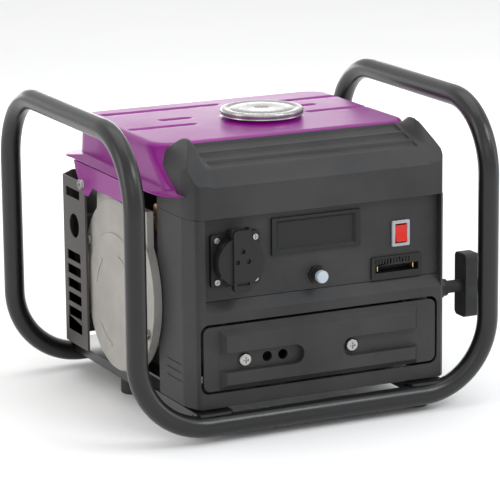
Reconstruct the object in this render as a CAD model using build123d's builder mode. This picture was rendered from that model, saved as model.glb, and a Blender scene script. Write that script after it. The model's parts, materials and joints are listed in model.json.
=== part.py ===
"""Portable generator: a two-stroke engine and alternator in a bent-tube carrying frame.

Millimetres. +X runs along the control panel to its right, the panel faces -Y, +Z is up.
The origin lies on the ground, below the middle of the bounding box.
"""
from build123d import *
import os
from math import cos, radians, sin

os.makedirs("parts", exist_ok=True)

# ------------------------------------------------------------------ driving dimensions
TUBE_R, TUBE_WALL = 10.0, 1.6           # frame tube
HOOP_X = (-187.0, 179.0)                # middle planes of the left and right hoops
HOOP_Y = 152.0                          # front and rear tube planes
RAIL_Z, BAR_Z = 16.0, 289.0             # tube axes of the bottom rails and the top bars
BEND_LOW, BEND_HIGH = 70.0, 68.0        # bend radii at the tube's axis
BRACE_X = (-110.0, 113.0)               # middle of the left and right cross members
BRACE_W, BRACE_T = 36.0, 2.5
BRACE_TOP = RAIL_Z + TUBE_R + BRACE_T
FOOT_R = 12.0
CRADLE_Z, CRADLE_T = 40.0, 2.5          # engine cradle plate

AXIS_Y, AXIS_Z = -2.0, 119.0            # crankshaft axis, along X
SHAFT_R = 8.0

HOUSE_X = (-129.0, 135.0)               # front housing, outside
HOUSE_FRONT, HOUSE_REAR = -146.0, -71.0
HOUSE_LOW, SEAM_Z = 30.0, 208.0         # bottom edge, and the seam below the hood
WALL = 2.5
PANEL_X = (-115.0, 131.0)               # recess of the control panel
PANEL_Z = (118.0, 208.0)
PANEL_FACE, PANEL_T = -138.4, 2.2       # panel's front face and thickness
COVER_X, COVER_Z = (-120.5, 127.0), (44.0, 110.0)   # opening of the lower cover

TANK_X, TANK_Y = (-135.0, 136.0), (-118.0, 113.0)
FLANGE_Z, TANK_TOP = 228.0, 268.0
SHEET = 1.2
FILLER = (16.0, 3.0)                    # filler axis in plan
NECK_R = 27.0

GUARD_X = -145.0                        # muffler guard's outer face
END_X = -138.0                          # alternator end cover's outer face
END_R = 83.0
HANDLE = (-98.0, 103.0)                 # starter handle's axis, Y and Z

# ------------------------------------------------------------------ planes and helpers


def front_plane(y):
    """Plane facing the user, through the given Y; local X, Y are X, Z."""
    return Plane(origin=(0, y, 0), x_dir=(1, 0, 0), z_dir=(0, -1, 0))


def side_plane(x):
    """Plane facing +X, through the given X; local X, Y are Y, Z."""
    return Plane(origin=(x, 0, 0), x_dir=(0, 1, 0), z_dir=(1, 0, 0))


def axis_plane(x):
    """Plane across the crankshaft at the given X; its origin is on the axis."""
    return Plane(origin=(x, AXIS_Y, AXIS_Z), x_dir=(0, 1, 0), z_dir=(1, 0, 0))


def mid(pair):
    return (pair[0] + pair[1]) / 2


def span(pair):
    return pair[1] - pair[0]


def bend(start, corner, end):
    """Quarter bend from start to end inside the given corner."""
    a, c, b = Vector(*start), Vector(*corner), Vector(*end)
    centre = a + b - c
    radius = (a - centre).length
    middle = centre + (c - centre).normalized() * radius
    return ThreePointArc(a, middle, b)


# ================================================================== frame
def hoop_points(x, inward):
    """Corners of one hoop's axis, from the front rail over the top to the rear rail."""
    low, high = BEND_LOW, BEND_HIGH
    return [
        (x + inward * low, -HOOP_Y, RAIL_Z), (x, -HOOP_Y, RAIL_Z), (x, -HOOP_Y, RAIL_Z + low),
        (x, -HOOP_Y, BAR_Z - high), (x, -HOOP_Y, BAR_Z), (x, -HOOP_Y + high, BAR_Z),
        (x, HOOP_Y - high, BAR_Z), (x, HOOP_Y, BAR_Z), (x, HOOP_Y, BAR_Z - high),
        (x, HOOP_Y, RAIL_Z + low), (x, HOOP_Y, RAIL_Z), (x + inward * low, HOOP_Y, RAIL_Z),
    ]


def build_hoop(x, inward, hollow=True):
    """One hoop swept along its axis; solid where it serves as a cutter."""
    p = hoop_points(x, inward)
    with BuildPart() as hoop:
        with BuildLine():
            bend(p[0], p[1], p[2])
            Line(p[2], p[3])
            bend(p[3], p[4], p[5])
            Line(p[5], p[6])
            bend(p[6], p[7], p[8])
            Line(p[8], p[9])
            bend(p[9], p[10], p[11])
        with BuildSketch(Plane(origin=p[0], z_dir=(-inward, 0, 0))):
            Circle(TUBE_R)
            if hollow:
                Circle(TUBE_R - TUBE_WALL, mode=Mode.SUBTRACT)
        sweep()
    return hoop


left_hoop = build_hoop(HOOP_X[0], 1)
left_hoop.part.label = "left_hoop"
export_step(left_hoop.part, "parts/left_hoop.step")

right_hoop = build_hoop(HOOP_X[1], -1)
right_hoop.part.label = "right_hoop"
export_step(right_hoop.part, "parts/right_hoop.step")


with BuildPart() as bottom_rails:
    for y in (-HOOP_Y, HOOP_Y):
        with BuildSketch(Plane(origin=(HOOP_X[0] + BEND_LOW, y, RAIL_Z), z_dir=(1, 0, 0))):
            Circle(TUBE_R)
            Circle(TUBE_R - TUBE_WALL, mode=Mode.SUBTRACT)
        extrude(amount=span(HOOP_X) - 2 * BEND_LOW)
bottom_rails.part.label = "bottom_rails"
export_step(bottom_rails.part, "parts/bottom_rails.step")

BRACE_LEG = 7.0                         # depth of the channel's side flanges
FOOT_Y = {"left": (-118.0, 37.0), "right": (-129.5, 37.0)}
MOUNT_Y = (-60.0, 62.0)
MOUNT_BOLT_R = 4.0


# Two inverted channels welded on top of both rails and coped round the lower bends.
hoop_cutters = [build_hoop(x, inward, hollow=False).part for x, inward in zip(HOOP_X, (1, -1))]
leg_y = HOOP_Y - TUBE_R - 1.0
with BuildPart() as cross_members:
    for x in BRACE_X:
        with BuildSketch(Plane.XY.offset(BRACE_TOP - BRACE_T)):
            with Locations((x, 0)):
                RectangleRounded(BRACE_W, 2 * HOOP_Y + 8, 6)
        extrude(amount=BRACE_T)
        with BuildSketch(Plane.XY.offset(BRACE_TOP - BRACE_T)):
            with Locations((x - BRACE_W / 2 + BRACE_T / 2, 0), (x + BRACE_W / 2 - BRACE_T / 2, 0)):
                Rectangle(BRACE_T, 2 * leg_y)
        extrude(amount=-BRACE_LEG)
        with Locations(*[(x, y, BRACE_TOP) for y in MOUNT_Y]):
            Hole(MOUNT_BOLT_R)
    add(hoop_cutters, mode=Mode.SUBTRACT)
cross_members.part.label = "cross_members"
export_step(cross_members.part, "parts/cross_members.step")

foot_places = [(BRACE_X[0], y) for y in FOOT_Y["left"]] + [(BRACE_X[1], y) for y in FOOT_Y["right"]]
with BuildPart() as rubber_feet:
    with BuildSketch():
        with Locations(*foot_places):
            Circle(FOOT_R)
    extrude(amount=BRACE_TOP - BRACE_T)
    fillet(rubber_feet.faces().filter_by(Axis.Z).group_by(Axis.Z)[0].edges(), 1.6)
rubber_feet.part.label = "rubber_feet"
export_step(rubber_feet.part, "parts/rubber_feet.step")

mount_places = [(x, y) for x in BRACE_X for y in MOUNT_Y]
with BuildPart() as engine_mounts:
    with BuildSketch(Plane.XY.offset(BRACE_TOP)):
        with Locations(*mount_places):
            Circle(11)
    extrude(amount=CRADLE_Z - BRACE_TOP)
    with BuildSketch(Plane.XY.offset(BRACE_TOP + 4)):
        with Locations(*mount_places):
            Circle(12)
            Circle(9.5, mode=Mode.SUBTRACT)
    extrude(amount=3.5, mode=Mode.SUBTRACT)
engine_mounts.part.label = "engine_mounts"
export_step(engine_mounts.part, "parts/engine_mounts.step")

with BuildPart() as engine_cradle:
    with BuildSketch(Plane.XY.offset(CRADLE_Z)):
        with Locations((mid(BRACE_X), mid(MOUNT_Y))):
            RectangleRounded(span(BRACE_X) + 34, span(MOUNT_Y) + 30, 10)
            with GridLocations(70, 52, 3, 2):
                RectangleRounded(36, 14, 6, mode=Mode.SUBTRACT)
        with Locations(*mount_places):
            Circle(MOUNT_BOLT_R, mode=Mode.SUBTRACT)
    extrude(amount=CRADLE_T)
engine_cradle.part.label = "engine_cradle"
export_step(engine_cradle.part, "parts/engine_cradle.step")

with BuildPart() as mount_bolts:
    with BuildSketch(Plane.XY.offset(CRADLE_Z + CRADLE_T)):
        with Locations(*mount_places):
            RegularPolygon(6.5, 6)
    extrude(amount=5)
    with BuildSketch(Plane.XY.offset(CRADLE_Z)):
        with Locations(*mount_places):
            Circle(MOUNT_BOLT_R - 0.2)
    extrude(amount=CRADLE_T)
mount_bolts.part.label = "mount_bolts"
export_step(mount_bolts.part, "parts/mount_bolts.step")

# ================================================================== alternator
CASE_X = (-129.8, -50.0)
CASE_R, CASE_WALL = 62.0, 5.0
BASE_Z = CRADLE_Z + CRADLE_T

with BuildPart() as alternator_case:
    with BuildSketch(axis_plane(CASE_X[0])):
        Circle(CASE_R)
    extrude(amount=span(CASE_X))
    with BuildSketch(Plane.XY.offset(BASE_Z)):
        with Locations((mid(CASE_X), AXIS_Y)):
            Rectangle(40, 76)
    extrude(amount=AXIS_Z - CASE_R - BASE_Z + 14)
    with BuildSketch(axis_plane(CASE_X[0])):
        Circle(CASE_R - CASE_WALL)
    extrude(amount=span(CASE_X) - 10, mode=Mode.SUBTRACT)
    with BuildSketch(axis_plane(CASE_X[1] - 10)):
        Circle(SHAFT_R + 2)
    extrude(amount=10, mode=Mode.SUBTRACT)
    with BuildSketch(axis_plane(CASE_X[0] + 6)):
        with PolarLocations(CASE_R - 2, 12, start_angle=15):
            Rectangle(20, 8)
    extrude(amount=4, mode=Mode.SUBTRACT)
alternator_case.part.label = "alternator_case"
export_step(alternator_case.part, "parts/alternator_case.step")

with BuildPart() as stator:
    with BuildSketch(axis_plane(-116)):
        Circle(CASE_R - CASE_WALL - 0.1)
        Circle(37, mode=Mode.SUBTRACT)
    extrude(amount=40)
    with BuildSketch(axis_plane(-124)):
        Circle(53)
        Circle(39, mode=Mode.SUBTRACT)
    extrude(amount=56)
stator.part.label = "stator"
export_step(stator.part, "parts/stator.step")

with BuildPart() as rotor:
    with BuildSketch(axis_plane(-116)):
        Circle(36)
        with PolarLocations(36, 4):
            Rectangle(12, 10, mode=Mode.SUBTRACT)
        Circle(SHAFT_R, mode=Mode.SUBTRACT)
    extrude(amount=44)
rotor.part.label = "rotor"
export_step(rotor.part, "parts/rotor.step")

# End cover: a big cast disc with a square block on top, an ear and a lower, flatter raised disc
# that carries four raised arcs. Three bolts stand on the rim.
END_T = 8.2
END_CENTRE, DISC_CENTRE, DISC_R = (2.0, 118.0), (8.0, 101.0), 66.0
BLOCK_Y, BLOCK_TOP = (-64.0, 54.0), 202.5
with BuildPart() as end_cover:
    with BuildSketch(side_plane(END_X)):
        with Locations(END_CENTRE):
            Circle(END_R)
    extrude(amount=END_T)
    with BuildSketch(side_plane(END_X + 1.5)):
        with BuildLine():
            Polyline((BLOCK_Y[0], AXIS_Z), (BLOCK_Y[0], BLOCK_TOP), (BLOCK_Y[1], BLOCK_TOP),
                     (BLOCK_Y[1] + 3, AXIS_Z + 46), (BLOCK_Y[1] + 3, AXIS_Z), (BLOCK_Y[0], AXIS_Z))
        make_face()
    extrude(amount=END_T - 1.5)
    with BuildSketch(axis_plane(END_X + 0.8)):
        with Locations((64, 36)):
            SlotOverall(26, 16, rotation=35)
    extrude(amount=END_T - 0.8)
    with BuildSketch(side_plane(END_X - 1.6)):
        with Locations(DISC_CENTRE):
            Circle(DISC_R)
    extrude(amount=1.6, taper=-40)
    fillet(end_cover.faces().filter_by(Axis.X).group_by(Axis.X)[0].edges(), 1.2)
    with BuildSketch(side_plane(END_X - 1.6)):
        with Locations(DISC_CENTRE):
            Circle(47.5)
            Circle(44.5, mode=Mode.SUBTRACT)
            with PolarLocations(46, 4, start_angle=-14):
                Rectangle(14, 40, mode=Mode.SUBTRACT)
    extrude(amount=-0.8)
    with BuildSketch(side_plane(END_X - 2)):
        with Locations((73, 58)):
            Circle(8)
    extrude(amount=END_T + 2, mode=Mode.SUBTRACT)
    with BuildSketch(axis_plane(END_X + END_T)):
        Circle(11)
    extrude(amount=-4, mode=Mode.SUBTRACT)
end_cover.part.label = "alternator_end_cover"
export_step(end_cover.part, "parts/alternator_end_cover.step")

with BuildPart() as end_cover_bolts:
    with BuildSketch(side_plane(END_X - 0.1)):
        with Locations((70.9, 150.0), (-30.1, 186.9), (-67.5, 86.0)):
            RegularPolygon(5.2, 6)
    extrude(amount=-3.2)
end_cover_bolts.part.label = "end_cover_bolts"
export_step(end_cover_bolts.part, "parts/end_cover_bolts.step")

# ================================================================== engine
CRANKCASE_X = (-50.0, 58.0)
CRANKCASE_R, CHAMBER_R = 46.0, 31.0
CYL_X = 8.0                             # cylinder axis
CYL_BASE = AXIS_Z + 39.0
BORE_R = 20.0
HEAD_Z = 186.0

with BuildPart() as crankcase:
    with BuildSketch(axis_plane(CRANKCASE_X[0])):
        Circle(CRANKCASE_R)
    extrude(amount=span(CRANKCASE_X))
    with BuildSketch(Plane.XY.offset(BASE_Z)):
        with Locations((mid(CRANKCASE_X), AXIS_Y)):
            Rectangle(84, 64)
    extrude(amount=AXIS_Z - CRANKCASE_R - BASE_Z + 12)
    with BuildSketch(Plane.XY.offset(AXIS_Z)):
        with Locations((CYL_X, AXIS_Y)):
            RectangleRounded(66, 62, 8)
    extrude(amount=CYL_BASE - AXIS_Z)
    with BuildSketch(axis_plane(-20)):
        Circle(CHAMBER_R)
    extrude(amount=54, mode=Mode.SUBTRACT)
    with BuildSketch(axis_plane(-34)):
        Circle(19.1)
    extrude(amount=14, mode=Mode.SUBTRACT)
    with BuildSketch(axis_plane(34)):
        Circle(19.1)
    extrude(amount=14, mode=Mode.SUBTRACT)
    with BuildSketch(axis_plane(CRANKCASE_X[0])):
        Circle(SHAFT_R + 2)
    extrude(amount=span(CRANKCASE_X), mode=Mode.SUBTRACT)
    with BuildSketch(Plane.XY.offset(AXIS_Z)):
        with Locations((CYL_X, AXIS_Y)):
            Circle(BORE_R + 3)
    extrude(amount=50, mode=Mode.SUBTRACT)
    with BuildSketch(Plane.XY.offset(CYL_BASE)):
        with Locations((CYL_X, AXIS_Y)):
            Rectangle(78, 74)
    extrude(amount=20, mode=Mode.SUBTRACT)
crankcase.part.label = "crankcase"
export_step(crankcase.part, "parts/crankcase.step")

with BuildPart() as crank_bearings:
    for x in (-34.0, 35.0, -57.0):
        with BuildSketch(axis_plane(x)):
            Circle(19 if x > -50 else 9.91)
            Circle(SHAFT_R + 0.05, mode=Mode.SUBTRACT)
        extrude(amount=12 if x > -50 else 6)
crank_bearings.part.label = "crank_bearings"
export_step(crank_bearings.part, "parts/crank_bearings.step")

with BuildPart() as crankshaft:
    with BuildSketch(axis_plane(-127)):
        Circle(SHAFT_R)
    extrude(amount=127 - 12)
    with BuildSketch(axis_plane(28)):
        Circle(SHAFT_R)
    extrude(amount=88)
    for x in (-12.0, 16.0):
        with BuildSketch(axis_plane(x)):
            Circle(28)
        extrude(amount=12)
    with BuildSketch(axis_plane(0)):
        with Locations((0, 14)):
            Circle(7)
    extrude(amount=16)
crankshaft.part.label = "crankshaft"
export_step(crankshaft.part, "parts/crankshaft.step")

FIN_T, FIN_PITCH = 1.8, 5.0
PORT_Y, PORT_Z = (-47.9, 34.8), 172.0   # intake flange in front, exhaust flange behind
with BuildPart() as cylinder:
    with BuildSketch(Plane.XY.offset(CYL_BASE)):
        with Locations((CYL_X, AXIS_Y)):
            RectangleRounded(60, 56, 6)
    extrude(amount=4)
    with BuildSketch(Plane.XY.offset(CYL_BASE)):
        with Locations((CYL_X, AXIS_Y)):
            Circle(BORE_R + 5)
    extrude(amount=HEAD_Z - CYL_BASE)
    for level in range(4):
        with BuildSketch(Plane.XY.offset(CYL_BASE + 7.5 + level * FIN_PITCH)):
            with Locations((CYL_X, AXIS_Y)):
                RectangleRounded(74, 70, 12)
        extrude(amount=FIN_T)
    with BuildSketch(front_plane(PORT_Y[1])):
        with Locations((CYL_X, PORT_Z)):
            RectangleRounded(32, 24, 5)
    extrude(amount=span(PORT_Y))
    with BuildSketch(front_plane(PORT_Y[1])):
        with Locations((CYL_X, PORT_Z)):
            Circle(8)
    extrude(amount=span(PORT_Y), mode=Mode.SUBTRACT)
    with BuildSketch(Plane.XY.offset(CYL_BASE)):
        with Locations((CYL_X, AXIS_Y)):
            Circle(BORE_R)
    extrude(amount=HEAD_Z - CYL_BASE, mode=Mode.SUBTRACT)
cylinder.part.label = "cylinder"
export_step(cylinder.part, "parts/cylinder.step")

HEAD_TOP = 203.0
PLUG_TILT = 84.0                        # spark plug leans back from the vertical
PLUG = Plane(origin=(CYL_X, AXIS_Y + 9, HEAD_Z + 9.4), x_dir=(1, 0, 0),
             z_dir=(0, sin(radians(PLUG_TILT)), cos(radians(PLUG_TILT))))
with BuildPart() as cylinder_head:
    with BuildSketch(Plane.XY.offset(HEAD_Z + 0.6)):
        with Locations((CYL_X, AXIS_Y)):
            RectangleRounded(70, 66, 12)
    extrude(amount=HEAD_TOP - HEAD_Z - 0.6)
    with BuildSketch(Plane.XY.offset(HEAD_TOP)):
        with Locations((CYL_X, AXIS_Y)):
            with GridLocations(9, 1, 7, 1):
                Rectangle(5.5, 80)
    extrude(amount=-10, mode=Mode.SUBTRACT)
    with BuildSketch(PLUG.offset(4)):
        Circle(9)
    extrude(amount=60, mode=Mode.SUBTRACT)
    with BuildSketch(Plane.XY.offset(HEAD_Z + 0.6)):
        with Locations((CYL_X, AXIS_Y)):
            Circle(BORE_R - 3)
    extrude(amount=3, taper=30, mode=Mode.SUBTRACT)
cylinder_head.part.label = "cylinder_head"
export_step(cylinder_head.part, "parts/cylinder_head.step")

with BuildPart() as piston:
    with BuildSketch(Plane.XY.offset(159)):
        with Locations((CYL_X, AXIS_Y)):
            Circle(BORE_R - 0.1)
    extrude(amount=24)
    with BuildSketch(Plane.XY.offset(159)):
        with Locations((CYL_X, AXIS_Y)):
            Circle(BORE_R - 3)
    extrude(amount=19, mode=Mode.SUBTRACT)
piston.part.label = "piston"
export_step(piston.part, "parts/piston.step")

with BuildPart() as spark_plug:
    with BuildSketch(PLUG.offset(4.2)):
        RegularPolygon(8.2, 6)
    extrude(amount=9)
    with BuildSketch(PLUG.offset(13.2)):
        Circle(5)
    extrude(amount=20, taper=4)
spark_plug.part.label = "spark_plug"
export_step(spark_plug.part, "parts/spark_plug.step")

with BuildPart() as plug_cap:
    with BuildSketch(PLUG.offset(22)):
        Circle(8.5)
    extrude(amount=22)
    with BuildSketch(PLUG.offset(22)):
        Circle(5.6)
    extrude(amount=13, mode=Mode.SUBTRACT)
    fillet(plug_cap.edges().filter_by(GeomType.CIRCLE).sort_by(SortBy.RADIUS)[-1], 1.5)
plug_cap.part.label = "plug_cap"
export_step(plug_cap.part, "parts/plug_cap.step")

# ------------------------------------------------------------------ flywheel, fan and shroud
with BuildPart() as flywheel:
    with BuildSketch(axis_plane(62)):
        Circle(61)
        Circle(SHAFT_R, mode=Mode.SUBTRACT)
    extrude(amount=12)
    with BuildSketch(axis_plane(74)):
        Circle(20)
        Circle(SHAFT_R, mode=Mode.SUBTRACT)
    extrude(amount=26)
    with BuildSketch(axis_plane(74)):
        with PolarLocations(46, 12):
            Rectangle(26, 2.6, rotation=22)
    extrude(amount=16)
flywheel.part.label = "flywheel_fan"
export_step(flywheel.part, "parts/flywheel_fan.step")

SHROUD_X = (60.0, 103.0)
SHROUD_R = 68.0
with BuildPart() as fan_shroud:
    with BuildSketch(axis_plane(SHROUD_X[0])):
        Circle(SHROUD_R)
        Circle(SHROUD_R - 2, mode=Mode.SUBTRACT)
    extrude(amount=span(SHROUD_X))
    with BuildSketch(axis_plane(SHROUD_X[0] - 1.6)):
        Circle(SHROUD_R)
        Circle(34, mode=Mode.SUBTRACT)
    extrude(amount=1.6)
    with BuildSketch(side_plane(SHROUD_X[0] - 1.6)):
        with Locations((AXIS_Y, AXIS_Z + 60)):
            Rectangle(60, 30)
    extrude(amount=14, mode=Mode.SUBTRACT)
fan_shroud.part.label = "fan_shroud"
export_step(fan_shroud.part, "parts/fan_shroud.step")

# ================================================================== recoil starter
RECOIL_X = (103.5, 152.0)
PULLEY_X = (122.0, 138.0)
PULLEY_R = 27.0
ROPE_R = 1.75
ROPE_X = mid(PULLEY_X)
EYELET_X = 158.0
with BuildPart() as recoil_cover:
    with BuildSketch(axis_plane(RECOIL_X[0])):
        Circle(SHROUD_R)
    extrude(amount=span(RECOIL_X))
    fillet(recoil_cover.faces().filter_by(Axis.X).group_by(Axis.X)[-1].edges(), 8)
    with BuildSketch(front_plane(-60)):
        with Locations((ROPE_X + 5, HANDLE[1])):
            RectangleRounded(34, 22, 5)
    extrude(amount=-HANDLE[0] - 60 + 12)
    with BuildSketch(side_plane(ROPE_X)):
        with Locations((HANDLE[0], HANDLE[1])):
            Circle(10)
    extrude(amount=EYELET_X - ROPE_X)
    with BuildSketch(axis_plane(RECOIL_X[0])):
        Circle(SHROUD_R - 3)
    extrude(amount=span(RECOIL_X) - 3, mode=Mode.SUBTRACT)
    with BuildSketch(axis_plane(RECOIL_X[1] - 3)):
        Circle(6)
    extrude(amount=-26)
    with BuildSketch(front_plane(-60)):
        with Locations((ROPE_X, HANDLE[1] - 3)):
            RectangleRounded(12, 16, 2)
    extrude(amount=-HANDLE[0] - 60, mode=Mode.SUBTRACT)
    with BuildSketch(side_plane(ROPE_X)):
        with Locations((HANDLE[0], HANDLE[1])):
            Circle(6)
    extrude(amount=EYELET_X - ROPE_X, mode=Mode.SUBTRACT)
    with BuildSketch(axis_plane(RECOIL_X[1])):
        with PolarLocations(44, 10, start_angle=9):
            SlotOverall(22, 7)
    extrude(amount=-3, mode=Mode.SUBTRACT)
recoil_cover.part.label = "recoil_cover"
export_step(recoil_cover.part, "parts/recoil_cover.step")

with BuildPart() as recoil_pulley:
    with BuildSketch(axis_plane(PULLEY_X[0])):
        Circle(PULLEY_R + 5)
        Circle(6.05, mode=Mode.SUBTRACT)
    extrude(amount=span(PULLEY_X))
    with BuildSketch(axis_plane(PULLEY_X[0] + 3)):
        Circle(PULLEY_R + 6)
        Circle(PULLEY_R - 5, mode=Mode.SUBTRACT)
    extrude(amount=span(PULLEY_X) - 6, mode=Mode.SUBTRACT)
    with BuildSketch(axis_plane(PULLEY_X[0])):
        with PolarLocations(15, 2):
            RectangleRounded(11, 6, 2)
    extrude(amount=-6)
recoil_pulley.part.label = "recoil_pulley"
export_step(recoil_pulley.part, "parts/recoil_pulley.step")

with BuildPart() as rope_coil:
    with BuildSketch(axis_plane(PULLEY_X[0] + 3.3)):
        Circle(PULLEY_R)
        Circle(PULLEY_R - 4.8, mode=Mode.SUBTRACT)
    extrude(amount=span(PULLEY_X) - 6.6)
rope_coil.part.label = "rope_coil"
export_step(rope_coil.part, "parts/rope_coil.step")

with BuildPart() as recoil_spring:
    with BuildSketch(axis_plane(PULLEY_X[1] + 1)):
        Circle(25)
        Circle(9, mode=Mode.SUBTRACT)
    extrude(amount=8)
recoil_spring.part.label = "recoil_spring"
export_step(recoil_spring.part, "parts/recoil_spring.step")

# T-handle: a short stem, a collar at the eyelet and an upright grip bar.
GRIP_X = (179.5, 197.0)
GRIP_Y, GRIP_H = 22.0, 63.0
STEM_X = EYELET_X + 0.6
with BuildPart() as starter_handle:
    with BuildSketch(side_plane(STEM_X)):
        with Locations(HANDLE):
            Circle(8.4)
    extrude(amount=4.5)
    with BuildSketch(side_plane(STEM_X)):
        with Locations(HANDLE):
            Circle(6.2)
    extrude(amount=GRIP_X[0] - STEM_X + 4)
    with BuildSketch(side_plane(GRIP_X[0])):
        with Locations((HANDLE[0], HANDLE[1] + 1)):
            RectangleRounded(GRIP_Y, GRIP_H, 5)
    extrude(amount=span(GRIP_X))
    fillet(starter_handle.faces().filter_by(Axis.X).group_by(Axis.X)[-1].edges(), 4)
    with BuildSketch(side_plane(STEM_X)):
        with Locations(HANDLE):
            Circle(ROPE_R + 0.3)
    extrude(amount=24, mode=Mode.SUBTRACT)
starter_handle.part.label = "starter_handle"
export_step(starter_handle.part, "parts/starter_handle.step")

with BuildPart() as starter_rope:
    with BuildSketch(side_plane(ROPE_X + 4)):
        with Locations(HANDLE):
            Circle(ROPE_R)
    extrude(amount=STEM_X + 23.5 - ROPE_X - 4)
starter_rope.part.label = "starter_rope"
export_step(starter_rope.part, "parts/starter_rope.step")

# ================================================================== exhaust
MUFFLER_X, MUFFLER_Y, MUFFLER_Z = (-122.0, 26.0), (78.0, 130.0), (62.0, 190.0)
with BuildPart() as muffler:
    with BuildSketch(Plane.XY.offset(MUFFLER_Z[0])):
        with Locations((mid(MUFFLER_X), mid(MUFFLER_Y))):
            RectangleRounded(span(MUFFLER_X), span(MUFFLER_Y), 14)
    extrude(amount=span(MUFFLER_Z))
    fillet(muffler.faces().filter_by(Axis.Z).edges(), 6)
    with BuildSketch(Plane(origin=(CYL_X, MUFFLER_Y[0] + 1, 172), x_dir=(1, 0, 0), z_dir=(0, -1, 0))):
        Circle(11)
    extrude(amount=MUFFLER_Y[0] + 1 - 35)
    with BuildSketch(side_plane(MUFFLER_X[0] + 4)):
        with Locations((101, 159)):
            Circle(9)
    extrude(amount=-14)
    with BuildSketch(side_plane(MUFFLER_X[0] - 10)):
        with Locations((101, 159)):
            Circle(7.5)
    extrude(amount=12, mode=Mode.SUBTRACT)
    with BuildSketch(Plane.XY.offset(MUFFLER_Z[0] + 2)):
        with Locations((mid(MUFFLER_X), mid(MUFFLER_Y))):
            RectangleRounded(span(MUFFLER_X) - 4, span(MUFFLER_Y) - 4, 12)
    extrude(amount=span(MUFFLER_Z) - 4, mode=Mode.SUBTRACT)
muffler.part.label = "muffler"
export_step(muffler.part, "parts/muffler.step")

# Guard: one folded sheet, with a top slot, a round outlet and a ladder of slots.
GUARD_Y, GUARD_Z = (66.0, 121.0), (38.0, 206.0)
GUARD_T, GUARD_LIP = 1.4, 2.4
GUARD_HOLE = (94.0, 159.0, 12.0)
with BuildPart() as muffler_guard:
    with BuildSketch(side_plane(GUARD_X)):
        with Locations((mid(GUARD_Y), mid(GUARD_Z))):
            Rectangle(span(GUARD_Y), span(GUARD_Z))
        with Locations(GUARD_HOLE[:2]):
            Circle(GUARD_HOLE[2], mode=Mode.SUBTRACT)
        with Locations((mid(GUARD_Y) + 3, 191)):
            Rectangle(34, 9, mode=Mode.SUBTRACT)
        with Locations(*[(mid(GUARD_Y) + 3, 56 + 14.3 * row) for row in range(6)]):
            Rectangle(33, 9.4, mode=Mode.SUBTRACT)
    extrude(amount=GUARD_T)
    with BuildSketch(Plane.XY.offset(GUARD_Z[0])):
        with Locations((GUARD_X + GUARD_LIP / 2, GUARD_Y[0] + GUARD_T / 2)):
            Rectangle(GUARD_LIP, GUARD_T)
        with Locations((GUARD_X + 75, GUARD_Y[1] + 16)):
            Rectangle(118, GUARD_T)
        with BuildLine():
            Polyline((GUARD_X, GUARD_Y[1]), (GUARD_X + GUARD_T, GUARD_Y[1]),
                     (GUARD_X + 16.5, GUARD_Y[1] + 15.3), (GUARD_X + 16.5, GUARD_Y[1] + 16.7),
                     (GUARD_X, GUARD_Y[1]))
        make_face()
    extrude(amount=span(GUARD_Z))
muffler_guard.part.label = "muffler_guard"
export_step(muffler_guard.part, "parts/muffler_guard.step")

# ================================================================== intake
INTAKE_X, INTAKE_Z = 8.0, 172.0
CARB_Y = (-74.0, -48.0)
with BuildPart() as carburettor:
    with BuildSketch(front_plane(CARB_Y[1])):
        with Locations((INTAKE_X, INTAKE_Z)):
            RectangleRounded(36, 32, 6)
    extrude(amount=span(CARB_Y))
    with BuildSketch(Plane.XY.offset(INTAKE_Z - 34)):
        with Locations((INTAKE_X, mid(CARB_Y))):
            Circle(11.5)
    extrude(amount=20)
    with BuildSketch(front_plane(CARB_Y[1])):
        with Locations((INTAKE_X, INTAKE_Z)):
            Circle(8)
    extrude(amount=span(CARB_Y), mode=Mode.SUBTRACT)
    with BuildSketch(side_plane(INTAKE_X)):
        with Locations((CARB_Y[0] + 7, INTAKE_Z)):
            Circle(3.05)
    extrude(amount=40, mode=Mode.SUBTRACT)
carburettor.part.label = "carburettor"
export_step(carburettor.part, "parts/carburettor.step")

BOX_X, BOX_Y, BOX_Z = (-62.0, 100.0), (-128.0, -75.0), (52.0, 196.0)
with BuildPart() as air_filter_box:
    with BuildSketch(front_plane(BOX_Y[1])):
        with Locations((mid(BOX_X), mid(BOX_Z) - 36)):
            RectangleRounded(span(BOX_X), 64, 8)
    extrude(amount=span(BOX_Y))
    with BuildSketch(front_plane(BOX_Y[1])):
        with Locations((INTAKE_X, INTAKE_Z - 30)):
            RectangleRounded(46, 94, 8)
    extrude(amount=14)
    with BuildSketch(front_plane(BOX_Y[1] - 3)):
        with Locations((mid(BOX_X), mid(BOX_Z) - 36)):
            RectangleRounded(span(BOX_X) - 6, 58, 6)
    extrude(amount=span(BOX_Y), mode=Mode.SUBTRACT)
    with BuildSketch(front_plane(BOX_Y[1] - 3)):
        with Locations((INTAKE_X, INTAKE_Z - 30)):
            RectangleRounded(40, 88, 6)
    extrude(amount=8, mode=Mode.SUBTRACT)
    with BuildSketch(front_plane(BOX_Y[1])):
        with Locations((INTAKE_X, INTAKE_Z)):
            Circle(8)
    extrude(amount=5, mode=Mode.SUBTRACT)
air_filter_box.part.label = "air_filter_box"
export_step(air_filter_box.part, "parts/air_filter_box.step")

with BuildPart() as air_filter_foam:
    with BuildSketch(front_plane(BOX_Y[0] + 20)):
        with Locations((mid(BOX_X), mid(BOX_Z) - 36)):
            RectangleRounded(span(BOX_X) - 7, 57, 5.5)
    extrude(amount=18)
air_filter_foam.part.label = "air_filter_foam"
export_step(air_filter_foam.part, "parts/air_filter_foam.step")

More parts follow.
